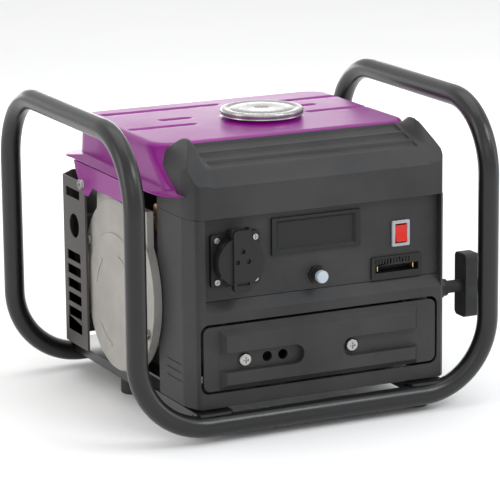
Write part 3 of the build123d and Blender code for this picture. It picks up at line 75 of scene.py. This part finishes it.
class Shader:
    """One Principled material, with short calls that add texture nodes to it."""

    def __init__(self, name, **sockets):
        self.material = bpy.data.materials.new(name)
        self.material.use_nodes = True
        self.tree = self.material.node_tree
        self.surface = self.tree.nodes["Principled BSDF"]
        self.place = self.node("ShaderNodeTexCoord").outputs["Object"]
        for socket, value in sockets.items():
            self.surface.inputs[socket.replace("_", " ")].default_value = value

    def node(self, kind, **settings):
        made = self.tree.nodes.new(kind)
        for key, value in settings.items():
            setattr(made, key, value)
        return made

    def link(self, source, target):
        self.tree.links.new(source, target)

    def noise(self, scale, detail=3.0, rough=0.5):
        made = self.node("ShaderNodeTexNoise")
        made.inputs["Scale"].default_value = scale
        made.inputs["Detail"].default_value = detail
        made.inputs["Roughness"].default_value = rough
        self.link(self.place, made.inputs["Vector"])
        return made.outputs["Fac"]

    def cells(self, scale):
        """Distance to the nearest of scattered points, for dust and flake."""
        made = self.node("ShaderNodeTexVoronoi", feature="F1")
        made.inputs["Scale"].default_value = scale
        self.link(self.place, made.inputs["Vector"])
        return made.outputs["Distance"]

    def spread(self, source, low, high, start, end):
        """Maps low..high of the source to start..end, clamped."""
        made = self.node("ShaderNodeMapRange")
        for socket, value in zip(("From Min", "From Max", "To Min", "To Max"), (low, high, start, end)):
            made.inputs[socket].default_value = value
        self.link(source, made.inputs["Value"])
        return made.outputs["Result"]

    def times(self, a, b):
        """Product of two values or sockets."""
        made = self.node("ShaderNodeMath", operation="MULTIPLY")
        for socket, value in zip(made.inputs, (a, b)):
            if isinstance(value, (int, float)):
                socket.default_value = value
            else:
                self.link(value, socket)
        return made.outputs["Value"]

    def blend(self, factor, first, second):
        """Mixes two colours; either may be a value or a socket."""
        made = self.node("ShaderNodeMix", data_type="RGBA")
        self.link(factor, made.inputs["Factor"])
        for socket, value in ((made.inputs[6], first), (made.inputs[7], second)):
            if isinstance(value, tuple):
                socket.default_value = value
            else:
                self.link(value, socket)
        return made.outputs[2]

    def edges(self, width):
        """1 on outer edges, 0 on flats, from the angle between the bevelled and the true normal."""
        bevel = self.node("ShaderNodeBevel", samples=4)
        bevel.inputs["Radius"].default_value = width
        dot = self.node("ShaderNodeVectorMath", operation="DOT_PRODUCT")
        self.link(bevel.outputs["Normal"], dot.inputs[0])
        self.link(self.node("ShaderNodeNewGeometry").outputs["Normal"], dot.inputs[1])
        return self.spread(dot.outputs["Value"], 0.995, 0.9, 0.0, 1.0)

    def colour(self, source):
        self.link(source, self.surface.inputs["Base Color"])
        return self

    def roughness(self, source):
        self.link(source, self.surface.inputs["Roughness"])
        return self

    def bump(self, *layers):
        """Stacks (height, distance) layers into one bump."""
        normal = None
        for height, distance in layers:
            made = self.node("ShaderNodeBump")
            made.inputs["Distance"].default_value = distance
            self.link(height, made.inputs["Height"])
            if normal is not None:
                self.link(normal, made.inputs["Normal"])
            normal = made.outputs["Normal"]
        self.link(normal, self.surface.inputs["Normal"])
        return self


def moulded(name, colour, rough, grain=0.0002, edge_sheen_and_wear=0.25, warm=None):
    """Moulded plastic: fine spark-eroded grain, faint cloudiness, paler edges that are a painted highlight
    mixed with edge wear.
    """
    s = Shader(name, Specular_IOR_Level=0.3)
    cloud = s.noise(9.0, 4.0, 0.6)
    base = s.blend(s.spread(cloud, 0.35, 0.65, 0.0, 1.0), rgba(colour, 0.88), rgba(warm or colour, 1.12))
    # lighter edges: painted highlight on the rounded edges, partly edge wear
    base = s.blend(s.times(s.edges(0.0012), edge_sheen_and_wear), base, rgba(colour, 2.4))
    fine = s.noise(2600.0, 2.0, 0.6)
    return s.colour(base).roughness(s.spread(cloud, 0.3, 0.7, rough - 0.05, rough + 0.06)).bump(
        (fine, grain), (s.noise(420.0, 2.0), grain * 0.6)).material


def coated(name, colour, rough, peel=0.00012, edge_sheen_and_wear=0.2, speck=0.04, **sockets):
    """Sprayed coating on metal: orange peel, dust specks, lighter edges that are a painted highlight mixed
    with thin-paint wear.
    """
    s = Shader(name, **sockets)
    cloud = s.noise(14.0, 3.0, 0.55)
    base = s.blend(s.spread(cloud, 0.35, 0.65, 0.0, 1.0), rgba(colour, 0.9), rgba(colour, 1.1))
    dust = s.spread(s.cells(900.0), 0.10, 0.03, 0.0, speck)
    base = s.blend(dust, base, shade(0.5))
    # lighter edges: painted highlight on the rounded edges, partly thin-paint wear
    base = s.blend(s.times(s.edges(0.0010), edge_sheen_and_wear), base, rgba(colour, 2.2))
    return s.colour(base).roughness(s.spread(cloud, 0.3, 0.7, rough - 0.04, rough + 0.05)).bump(
        (s.noise(320.0, 2.0, 0.4), peel)).material


def cast(name, colour, rough, metal=0.55, grain=0.0005):
    """Sand-cast and blasted light alloy: granular, a little stained."""
    s = Shader(name, Metallic=metal)
    stain = s.noise(22.0, 5.0, 0.62)
    grit = s.noise(1500.0, 3.0, 0.7)
    base = s.blend(s.spread(stain, 0.32, 0.68, 0.0, 1.0), rgba(colour, 0.86), rgba(colour, 1.08))
    base = s.blend(s.spread(grit, 0.42, 0.30, 0.0, 0.35), base, rgba(colour, 0.45))
    # lighter edges: painted highlight on the rounded edges, partly edge wear
    base = s.blend(s.times(s.edges(0.0010), 0.35), base, rgba(colour, 1.5))
    return s.colour(base).roughness(s.spread(stain, 0.3, 0.7, rough - 0.06, rough + 0.08)).bump(
        (grit, grain), (s.noise(180.0, 3.0), grain * 0.8)).material


def bright(name, colour, rough, scratch=0.00004, spots=0.15):
    """Plated or machined metal with fine scratches and spots."""
    s = Shader(name, Metallic=1.0)
    lines = s.noise(500.0, 4.0, 0.6)
    spot = s.noise(160.0, 4.0, 0.7)
    base = s.blend(s.spread(spot, 0.55, 0.72, 0.0, spots), rgba(colour), rgba(colour, 0.35))
    return s.colour(base).roughness(s.spread(lines, 0.3, 0.7, rough * 0.75, rough * 1.35)).bump(
        (lines, scratch)).material


def soft(name, colour, rough, grain=0.0002):
    """Rubber: matt, slightly bloomed."""
    s = Shader(name, Specular_IOR_Level=0.35)
    bloom = s.noise(60.0, 4.0, 0.6)
    base = s.blend(s.spread(bloom, 0.4, 0.7, 0.0, 1.0), rgba(colour), rgba(colour, 1.9))
    return s.colour(base).roughness(s.spread(bloom, 0.3, 0.7, rough - 0.05, rough + 0.08)).bump(
        (s.noise(1400.0, 2.0), grain)).material


def pressed_paint(name, colour):
    """Glossy paint over pressed sheet, with flow in the lacquer and fine flake."""
    s = Shader(name, Coat_Weight=0.25, Coat_Roughness=0.12, Specular_IOR_Level=0.25)
    cloud = s.noise(7.0, 3.0, 0.5)
    base = s.blend(s.spread(cloud, 0.35, 0.65, 0.0, 1.0), rgba(colour, 0.93), rgba(colour, 1.08))
    flake = s.spread(s.cells(2400.0), 0.16, 0.05, 0.0, 0.22)
    base = s.blend(flake, base, rgba(colour, 1.7))
    # lighter edges: painted highlight on the rounded edges, partly edge wear
    base = s.blend(s.times(s.edges(0.0010), 0.3), base, rgba(colour, 1.8))
    return s.colour(base).roughness(s.spread(cloud, 0.3, 0.7, 0.3, 0.42)).bump(
        (s.noise(160.0, 2.0, 0.4), 0.00006), (s.noise(24.0, 2.0), 0.0004)).material


def wound(name, dark, light, turns, axis):
    """Windings or laminations: fine parallel lines round or along an axis."""
    s = Shader(name, Metallic=0.8)
    wave = s.node("ShaderNodeTexWave", wave_type="BANDS", bands_direction=axis)
    wave.inputs["Scale"].default_value = turns
    wave.inputs["Distortion"].default_value = 1.5
    s.link(s.place, wave.inputs["Vector"])
    base = s.blend(wave.outputs["Fac"], dark, light)
    return s.colour(base).roughness(s.spread(s.noise(90.0), 0.3, 0.7, 0.35, 0.55)).bump(
        (wave.outputs["Fac"], 0.0004)).material


CHARCOAL = (0.021, 0.0215, 0.0228)
PURPLE = (0.20, 0.0015, 0.18)
ALLOY = (0.40, 0.385, 0.36)
M = {
    "frame_black": coated("satin black coating", (0.005, 0.005, 0.0053), 0.30, edge_sheen_and_wear=0.12, speck=0.02,
                          Coat_Weight=0.2, Coat_Roughness=0.2, Specular_IOR_Level=0.4),
    "rubber": soft("black rubber", (0.018, 0.018, 0.018), 0.62),
    "zinc_steel": bright("zinc plate", (0.40, 0.40, 0.39), 0.28, spots=0.3),
    "cast_aluminium": cast("cast alloy", ALLOY, 0.62),
    "steel_bright": bright("bright steel", (0.5, 0.49, 0.48), 0.26),
    "copper_windings": wound("copper windings", (0.10, 0.035, 0.015, 1), (0.62, 0.27, 0.12, 1), 260.0, "X"),
    "cast_iron": cast("flywheel alloy", (0.33, 0.33, 0.34), 0.55, metal=0.8),
    "black_plastic": moulded("black nylon", (0.011, 0.011, 0.0115), 0.42, grain=0.00012, edge_sheen_and_wear=0.3),
    "charcoal_plastic": moulded("charcoal housing", CHARCOAL, 0.46, warm=(0.033, 0.032, 0.032)),
    "recoil_black": coated("starter cover coating", (0.02, 0.02, 0.021), 0.45),
    "rope": wound("braided rope", (0.02, 0.02, 0.02, 1), (0.12, 0.12, 0.11, 1), 420.0, "DIAGONAL"),
    "foam": soft("filter foam", (0.03, 0.03, 0.032), 0.95, grain=0.002),
    "ceramic": bright("plug steel and ceramic", (0.82, 0.8, 0.76), 0.3),
    "tank_purple": pressed_paint("purple tank paint", PURPLE),
    "strainer_plastic": moulded("strainer plastic", (0.55, 0.54, 0.48), 0.5),
    "muffler_steel": coated("heat-proof black", (0.052, 0.047, 0.043), 0.5, edge_sheen_and_wear=0.35, speck=0.08),
    "brass": bright("brass", (0.66, 0.47, 0.2), 0.3),
    "button_grey": moulded("pale blue-grey button", (0.42, 0.47, 0.53), 0.4, edge_sheen_and_wear=0.1),
    "switch_red": moulded("red switch", (0.58, 0.018, 0.010), 0.2, grain=0.00004, edge_sheen_and_wear=0.15),
    "clear_bezel": moulded("clear bezel", (0.36, 0.36, 0.38), 0.12, grain=0.00004, edge_sheen_and_wear=0.1),
}


# ------------------------------------------------------------------ mesh helpers
def dress(obj, material):
    obj.data.materials.clear()
    obj.data.materials.append(material)
    for face in obj.data.polygons:
        face.use_smooth = True
        face.material_index = 0
    return obj


def round_edges(obj, width, segments=3, angle=28.0, weld=False):
    """Rounds sharp edges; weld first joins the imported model's split corners and flat triangles."""
    if weld:
        obj.modifiers.new("weld", "WELD").merge_threshold = 1e-6
        flat = obj.modifiers.new("flat", "DECIMATE")
        flat.decimate_type, flat.angle_limit = "DISSOLVE", radians(0.6)
    bevel = obj.modifiers.new("round", "BEVEL")
    bevel.width, bevel.segments = width, segments
    bevel.limit_method, bevel.angle_limit = "ANGLE", radians(angle)
    bevel.use_clamp_overlap, bevel.harden_normals = True, True
    bevel.miter_outer = "MITER_ARC"


def built(name, verts, faces, material, body="machine", replaced=()):
    mesh = bpy.data.meshes.new(name)
    mesh.from_pydata([tuple(v) for v in verts], [], faces)
    mesh.validate()
    work = bmesh.new()
    work.from_mesh(mesh)
    bmesh.ops.recalc_face_normals(work, faces=work.faces)
    work.to_mesh(mesh)
    work.free()
    obj = bpy.data.objects.new(name, mesh)
    bpy.context.scene.collection.objects.link(obj)
    dress(obj, M[material])
    if body:
        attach(obj, body)
    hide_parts(*replaced)
    return obj


def smooth(a, b, x):
    """0 at a, 1 at b, with a soft start and end."""
    t = min(max((x - a) / (b - a), 0.0), 1.0)
    return t * t * (3 - 2 * t)


def rings(loops, close_start=True, close_end=True):
    """Faces that join equal closed loops of vertices one after another."""
    verts = [p for loop in loops for p in loop]
    n = len(loops[0])
    faces = [(a * n + i, a * n + (i + 1) % n, (a + 1) * n + (i + 1) % n, (a + 1) * n + i)
             for a in range(len(loops) - 1) for i in range(n)]
    if close_start:
        faces.append(tuple(range(n)))
    if close_end:
        faces.append(tuple(range((len(loops) - 1) * n, len(loops) * n)))
    return verts, faces


# ------------------------------------------------------------------ finishes of the carried-over nodes
SLOT_OF = {row["node"]: row["material_slot"] for row in frame["record"]["subparts"]}
# bevel width of a node in mm, 0.35 where it isn't listed; 0 leaves its edges as they are
EDGE = {"front_housing": 0.0, "lower_cover": 1.0, "starter_handle": 1.2, "socket_lid": 0.7,
        "muffler_guard": 0.25, "left_hoop": 0.0, "right_hoop": 0.0, "bottom_rails": 0.0, "fuel_hose": 0.0,
        "rubber_feet": 0.6, "cross_members": 0.5, "tank_skirt": 0.25, "rotor": 0.2,
        "alternator_end_cover": 0.6, "crankcase": 0.8, "cylinder": 0.3, "muffler": 0.8}
for name, node in NODES.items():
    dress(node, M[SLOT_OF[name]])
    width = EDGE.get(name, 0.35)
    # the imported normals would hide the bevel
    if "custom_normal" in node.data.attributes:
        node.data.attributes.remove(node.data.attributes["custom_normal"])
    if width:
        round_edges(node, width * MM, weld=True)

# ------------------------------------------------------------------ hood: cheeks, chamfer strip, ribbed tray
HOOD_LEFT, HOOD_RIGHT = -0.129, 0.135
SEAM, FACE_TOP, FACE_Y = 0.2083, 0.237, -0.146
STRIP_Y, STRIP_Z = -0.136, 0.253
LAP_Y, LAP_REAR_Z = -0.0795, 0.265
TRAY = (-0.104, 0.116)
CHANNELS = ((-0.1335, -0.1200), (-0.1178, -0.1035), (-0.1013, -0.0845))
CHANNEL_DEPTH, CHANNEL_END = 0.0026, 0.003


def along(points, x):
    """Height of a polyline at x."""
    for (x0, z0), (x1, z1) in zip(points, points[1:]):
        if x <= x1:
            return z0 + (z1 - z0) * max(x - x0, 0.0) / (x1 - x0)
    return points[-1][1]


def eased(points, x, reach):
    """The same polyline with its corners rounded, as the mean of nearby heights."""
    return sum(along(points, x + reach * k / 4) for k in range(-4, 5)) / 9


def hood_front(x):
    """Front of the hood's plan at x, with both corners rounded."""
    left, right = x - HOOD_LEFT, HOOD_RIGHT - x
    y = FACE_Y
    if left < 0.011:
        y += 0.022 * (1 - left / 0.011) ** 2.2
    if right < 0.005:
        y = max(y, FACE_Y + 0.005 * (1 - right / 0.005) ** 2)
    return y


def channel(x, y):
    """Depth of the tray's three channels at a point; their ends are rounded."""
    deep = 0.0
    for low, high in CHANNELS:
        half = ((TRAY[1] - TRAY[0]) / 2 - 0.002, (high - low) / 2)
        dx = abs(x - (TRAY[0] + TRAY[1]) / 2) - half[0] + CHANNEL_END
        dy = abs(y - (low + high) / 2) - half[1] + CHANNEL_END
        gap = hypot(max(dx, 0), max(dy, 0)) + min(max(dx, dy), 0) - CHANNEL_END
        deep = max(deep, smooth(0.0, -0.0013, gap))
    return deep * CHANNEL_DEPTH


FACE = [(FACE_Y, FACE_TOP), (STRIP_Y, STRIP_Z)]
DECK = FACE + [(-0.084, 0.2676), (LAP_Y, LAP_REAR_Z)]
CHEEK = FACE + [(-0.114, 0.2768), (-0.100, 0.2775), (LAP_Y, LAP_REAR_Z)]


def hood_top(x, y):
    """Height of the hood's upper surface."""
    side = max(smooth(TRAY[0], TRAY[0] - 0.009, x), smooth(TRAY[1], TRAY[1] + 0.007, x))
    z = (1 - side) * (eased(DECK, y, 0.0012) - channel(x, y)) + side * eased(CHEEK, y, 0.006)
    return min(z, 0.2505 + 1.9 * (x - HOOD_LEFT), 0.2505 + 1.9 * (HOOD_RIGHT - x))


def spaced(*runs):
    """Stations over several (start, end, step) runs, in order."""
    found = set()
    for start, end, step in runs:
        count = max(round((end - start) / step), 1)
        found.update(round(start + (end - start) * i / count, 6) for i in range(count + 1))
    return sorted(found)


columns = spaced((HOOD_LEFT, HOOD_LEFT + 0.012, 0.0006), (HOOD_LEFT + 0.012, -0.098, 0.0009),
                 (-0.098, 0.110, 0.008), (0.110, HOOD_RIGHT - 0.005, 0.0009),
                 (HOOD_RIGHT - 0.005, HOOD_RIGHT, 0.0005))
rows = spaced((0.0, 0.012, 0.001), (0.012, LAP_Y - FACE_Y, 0.0008))
UNDER = [(-0.1215, 0.2302), (-0.1215, 0.2264), (-0.071, 0.2264), (-0.071, SEAM)]
loops = []
for x in columns:
    front = hood_front(x)
    reach = LAP_Y - front
    loop = [(x, front, SEAM + (hood_top(x, front) - SEAM) * k / 6) for k in range(6)]
    for row in rows:
        y = front + reach * row / (LAP_Y - FACE_Y)
        loop.append((x, y, hood_top(x, y)))
    loops.append(loop + [(x, max(y, front + 0.001), z) for y, z in UNDER])
hood = built("hood_shell", *rings(loops), "charcoal_plastic", replaced=["top_hood"])
round_edges(hood, 0.0011, angle=38.0)

# ------------------------------------------------------------------ tank's upper half: one pressed sheet
TANK_X, TANK_Y = (-0.135, 0.136), (-0.118, 0.113)
FLANGE, TANK_TOP, SHEET = 0.228, 0.268, 0.0012
FILLER = (0.016, 0.003)
TOP_ROUND = 0.006
NECK_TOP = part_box("fuel_tank_upper")[1][2]
NECK_R = (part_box("fuel_strainer")[1][0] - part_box("fuel_strainer")[0][0]) / 2 + 0.0006
GROOVE_W, GROOVE_DEPTH = 0.0095, 0.0026
GROOVES = [(-0.119, 0.007, 0.082), (-0.080, -0.046, 0.031), (-0.125, -0.055, 0.000),
           (0.066, 0.160, 0.068), (0.064, 0.160, 0.005), (0.058, 0.092, 0.037)]
SIDE_POINTS, CORNER_POINTS = 76, 14


def groove(x, y):
    """Depth of the pressed grooves, with round ends and soft walls."""
    deep = 0.0
    for start, end, middle in GROOVES:
        over = max(start + GROOVE_W / 2 - x, x - end + GROOVE_W / 2, 0.0)
        deep = max(deep, smooth(GROOVE_W / 2, GROOVE_W / 2 - 0.0026, hypot(over, y - middle)))
    return deep * GROOVE_DEPTH


def rounded(x0, x1, y0, y1, r):
    """Anticlockwise rounded rectangle with a fixed number of points per side and corner."""
    corners = (((x1 - r, y0 + r), -pi / 2), ((x1 - r, y1 - r), 0.0),
               ((x0 + r, y1 - r), pi / 2), ((x0 + r, y0 + r), pi))
    points = []
    for k, ((cx, cy), start) in enumerate(corners):
        turns = [start + pi / 2 * i / CORNER_POINTS for i in range(CORNER_POINTS + 1)]
        arc = [(cx + r * cos(turn), cy + r * sin(turn)) for turn in turns]
        (nx, ny), turn = corners[(k + 1) % 4]
        to = (nx + r * cos(turn), ny + r * sin(turn))
        points += arc + [(arc[-1][0] + (to[0] - arc[-1][0]) * i / SIDE_POINTS,
                          arc[-1][1] + (to[1] - arc[-1][1]) * i / SIDE_POINTS) for i in range(1, SIDE_POINTS)]
    return points


def sloped(z):
    """Front edge of the tank at a height: the press slopes back under the hood."""
    return max(-0.1225 + (z - 0.227) * 1.206, TANK_Y[0])


def wall_ring(z, inset, edge=0.0):
    draft = (z - FLANGE) * 0.035 + inset
    front = max(sloped(z), TANK_Y[0]) + inset * 1.4 + edge
    sharp = max(0.023 - inset - edge, 0.006)
    return rounded(TANK_X[0] + draft + edge, TANK_X[1] - draft - edge, front, TANK_Y[1] - draft - edge, sharp)


def pressed(ring, z, inset):
    """Lifts a plan ring to a height, with the grooves pressed into the part near the top."""
    near = smooth(0.256, 0.264, z)
    return [(x, y, z - inset - (groove(x, y) * near if near else 0.0)) for x, y in ring]


def tank_skin(inset):
    """Rings of one side of the sheet, from the foot of the wall to the neck."""
    skin = [pressed(wall_ring(z, inset), z, 0.0)
            for z in (FLANGE + SHEET, 0.232, 0.236, 0.242, 0.248, 0.254, 0.259)]
    for k in range(1, 8):
        turn = pi / 2 * k / 7
        plan = wall_ring(TANK_TOP - TOP_ROUND, inset, TOP_ROUND * (1 - cos(turn)))
        skin.append(pressed(plan, TANK_TOP - TOP_ROUND + TOP_ROUND * sin(turn), inset * sin(turn)))
    edge = [(p[0], p[1]) for p in skin[-1]]
    for k in range(1, 61):
        mix = k / 60
        ring = []
        for x, y in edge:
            turn = atan2(y - FILLER[1], x - FILLER[0])
            r = NECK_R + 0.0039 - inset
            tx, ty = FILLER[0] + r * cos(turn), FILLER[1] + r * sin(turn)
            px, py = x + (tx - x) * mix, y + (ty - y) * mix
            from_axis = hypot(px - FILLER[0], py - FILLER[1])
            collar = 0.0024 * smooth(0.0405, 0.0355, from_axis)
            ring.append((px, py, TANK_TOP - inset - groove(px, py) + collar))
        skin.append(ring)
    return skin


def level(ring, z, radius=None):
    """A ring at one height, and moved to a radius round the filler if one is given."""
    if radius is None:
        return [(p[0], p[1], z) for p in ring]
    return [(FILLER[0] + radius * cos(a), FILLER[1] + radius * sin(a), z)
            for a in (atan2(p[1] - FILLER[1], p[0] - FILLER[0]) for p in ring)]


def flange_ring(z):
    """Rim of the flange: wide on the left, with an ear at the rear and a pointed front tip."""
    ring = []
    for x, y in rounded(TANK_X[0] - 0.0128, TANK_X[1] + 0.0068,
                        TANK_Y[0] - 0.0004, TANK_Y[1] + 0.0058, 0.024):
        ear = exp(-((y - 0.104) / 0.009) ** 2) if x < -0.12 else 0.0
        x -= 0.002 * ear
        tip = smooth(-0.100, -0.1215, x) * smooth(-0.097, -0.117, y)
        ring.append((x, y - 0.012 * tip, z))
    return ring


outer, inner = tank_skin(0.0), tank_skin(SHEET)
neck_out, neck_in = NECK_R + 0.0039, NECK_R + 0.0001
tank_rings = [flange_ring(FLANGE), flange_ring(FLANGE + SHEET)] + outer + [
    level(outer[-1], NECK_TOP - 0.0004, neck_out), level(outer[-1], NECK_TOP, neck_out - 0.0005),
    level(outer[-1], NECK_TOP, neck_in + 0.0004), level(outer[-1], NECK_TOP - 0.0004, neck_in),
    level(outer[-1], TANK_TOP - 0.006, neck_in), level(outer[-1], TANK_TOP - 0.006, neck_out - 0.0012)]
tank_rings += inner[::-1] + [level(inner[0], FLANGE)]
tank_verts, tank_faces = rings(tank_rings, False, False)
around = len(tank_rings[0])
final = (len(tank_rings) - 1) * around
tank_faces += [(final + i, final + (i + 1) % around, (i + 1) % around, i) for i in range(around)]
built("tank_shell", tank_verts, tank_faces, "tank_purple", replaced=["fuel_tank_upper"])

# ------------------------------------------------------------------ filler cap: rolled skirt, stamped disc
CAP_LOW, CAP_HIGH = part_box("fuel_cap")
CAP_X, CAP_Y = (CAP_LOW[0] + CAP_HIGH[0]) / 2, (CAP_LOW[1] + CAP_HIGH[1]) / 2
CAP_R = (CAP_HIGH[0] - CAP_LOW[0]) / 2 - 0.0002
CAP_Z, CAP_TOP = CAP_LOW[2] + 0.0002, CAP_HIGH[2] - 0.0002
CAP_NOMINAL = 40.3                       # radius in mm that the section is drawn for
# radius in mm, drop below the top in m; from the middle of the disc out and down the skirt
CAP_SECTION = [(6.0, 0.0010), (7.0, 0.0006), (9.0, 0.0004), (22.0, 0.0003), (29.6, 0.0003),
               (30.6, 0.0009), (32.8, 0.0009), (33.8, 0.0002), (37.6, 0.0), (39.3, 0.0004),
               (40.1, 0.0013), (40.3, 0.0026), (40.3, 0.0042), (39.8, 0.0050), (40.3, 0.0058)]
CAP_PROFILE = [(radius, CAP_TOP - drop) for radius, drop in CAP_SECTION]
CAP_PROFILE += [(40.3, CAP_Z), (39.3, CAP_Z), (39.0, CAP_Z), (38.9, CAP_TOP - 0.0060)]
KNURL_TOP, KNURL_DEPTH, CAP_POINTS = CAP_TOP - 0.0020, 0.00035, 144
cap_loops = []
for radius, z in CAP_PROFILE:
    knurled = radius > 39.9 and CAP_Z < z < KNURL_TOP
    ring = []
    for k in range(CAP_POINTS):
        turn = 2 * pi * k / CAP_POINTS
        r = radius / CAP_NOMINAL * CAP_R - (KNURL_DEPTH * (k % 2) if knurled else 0.0)
        ring.append((CAP_X + r * cos(turn), CAP_Y + r * sin(turn), z))
    cap_loops.append(ring)
cap_disc = built("stamped_cap", *rings(cap_loops), "zinc_steel", body="cap", replaced=["fuel_cap"])
round_edges(cap_disc, 0.0002, segments=2, angle=50.0)

# ------------------------------------------------------------------ starter rope: laid strands along the imported rope
ROPE_LOW, ROPE_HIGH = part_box("starter_rope")
ROPE_Y, ROPE_Z = (ROPE_LOW[1] + ROPE_HIGH[1]) / 2, (ROPE_LOW[2] + ROPE_HIGH[2]) / 2
ROPE_R = (ROPE_HIGH[1] - ROPE_LOW[1]) / 2 - 0.0001
ROPE_RINGS, ROPE_SIDES, STRANDS, LAY = 120, 18, 3, 0.9     # LAY: turn of the strands per ring
rope_loops = []
for k in range(ROPE_RINGS + 1):
    x = ROPE_LOW[0] + (ROPE_HIGH[0] - ROPE_LOW[0]) * k / ROPE_RINGS
    ring = []
    for i in range(ROPE_SIDES):
        turn = 2 * pi * i / ROPE_SIDES
        r = ROPE_R * (0.93 + 0.07 * cos(STRANDS * turn + k * LAY))
        ring.append((x, ROPE_Y + r * cos(turn), ROPE_Z + r * sin(turn)))
    rope_loops.append(ring)
rope = built("drawn_rope", *rings(rope_loops), "rope", body=None, replaced=["starter_rope"])
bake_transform(rope)

# ------------------------------------------------------------------ camera and light
AZIMUTH, ELEVATION, ROLL = radians(-25.685), radians(13.312), radians(-0.583)
DISTANCE, LENS = 2.8035, 207.4
TARGET = Vector((0.0005, 0.0, 0.1378))
back = Vector((sin(AZIMUTH) * cos(ELEVATION), -cos(AZIMUTH) * cos(ELEVATION), sin(ELEVATION)))
right = Vector((cos(AZIMUTH), sin(AZIMUTH), 0.0))
up = back.cross(right)
across, upward = cos(ROLL) * right + sin(ROLL) * up, cos(ROLL) * up - sin(ROLL) * right
camera = bpy.data.objects.new("camera", bpy.data.cameras.new("camera"))
camera.data.lens, camera.data.sensor_width = LENS, 36.0
camera.data.clip_start, camera.data.clip_end = 0.1, 50.0
camera.matrix_world = Matrix.Translation(TARGET + back * DISTANCE) @ Matrix(
    (across, upward, back)).transposed().to_4x4()
bpy.context.scene.collection.objects.link(camera)
bpy.context.scene.camera = camera


def soft_box(name, place, size, power, colour=(1, 1, 1), aim=(0, 0, 0.14)):
    """Rectangular light aimed at the object."""
    lamp = bpy.data.lights.new(name, "AREA")
    lamp.shape, lamp.size, lamp.size_y = "RECTANGLE", size[0], size[1]
    lamp.energy, lamp.color = power, colour
    obj = bpy.data.objects.new(name, lamp)
    obj.location = place
    obj.rotation_euler = (Vector(aim) - Vector(place)).to_track_quat("-Z", "Y").to_euler()
    bpy.context.scene.collection.objects.link(obj)


soft_box("overhead", (0.1, 0.3, 2.2), (2.2, 1.8), 15)
soft_box("front", (-1.0, -2.2, 1.5), (1.6, 1.0), 4)
soft_box("front upper", (1.05, -1.5, 1.9), (1.0, 0.7), 16, (0.88, 0.94, 1.0))
soft_box("left", (-2.0, 0.2, 0.7), (0.8, 1.6), 9, (1.0, 0.96, 0.92))
soft_box("right", (2.0, -0.9, 0.8), (0.6, 1.6), 6)
soft_box("low rear", (0.2, 1.6, 0.35), (1.6, 0.4), 6, aim=(0, 0, 0.0))

world = bpy.data.worlds.new("studio")
world.use_nodes = True
sky = world.node_tree.nodes["Background"]
sky.inputs["Color"].default_value, sky.inputs["Strength"].default_value = WHITE, 0.90
bpy.context.scene.world = world
bpy.context.scene.view_settings.view_transform = "Standard"

floor_shader = Shader("floor", Roughness=0.85)
floor_shader.colour(floor_shader.blend(floor_shader.noise(3.0), shade(0.88), shade(0.92)))
floor = bpy.data.objects.new("floor", bpy.data.meshes.new("floor"))
floor.data.from_pydata([(-8, -8, 0), (8, -8, 0), (8, 8, 0), (-8, 8, 0)], [], [(0, 1, 2, 3)])
floor.data.materials.append(floor_shader.material)
bpy.context.scene.collection.objects.link(floor)
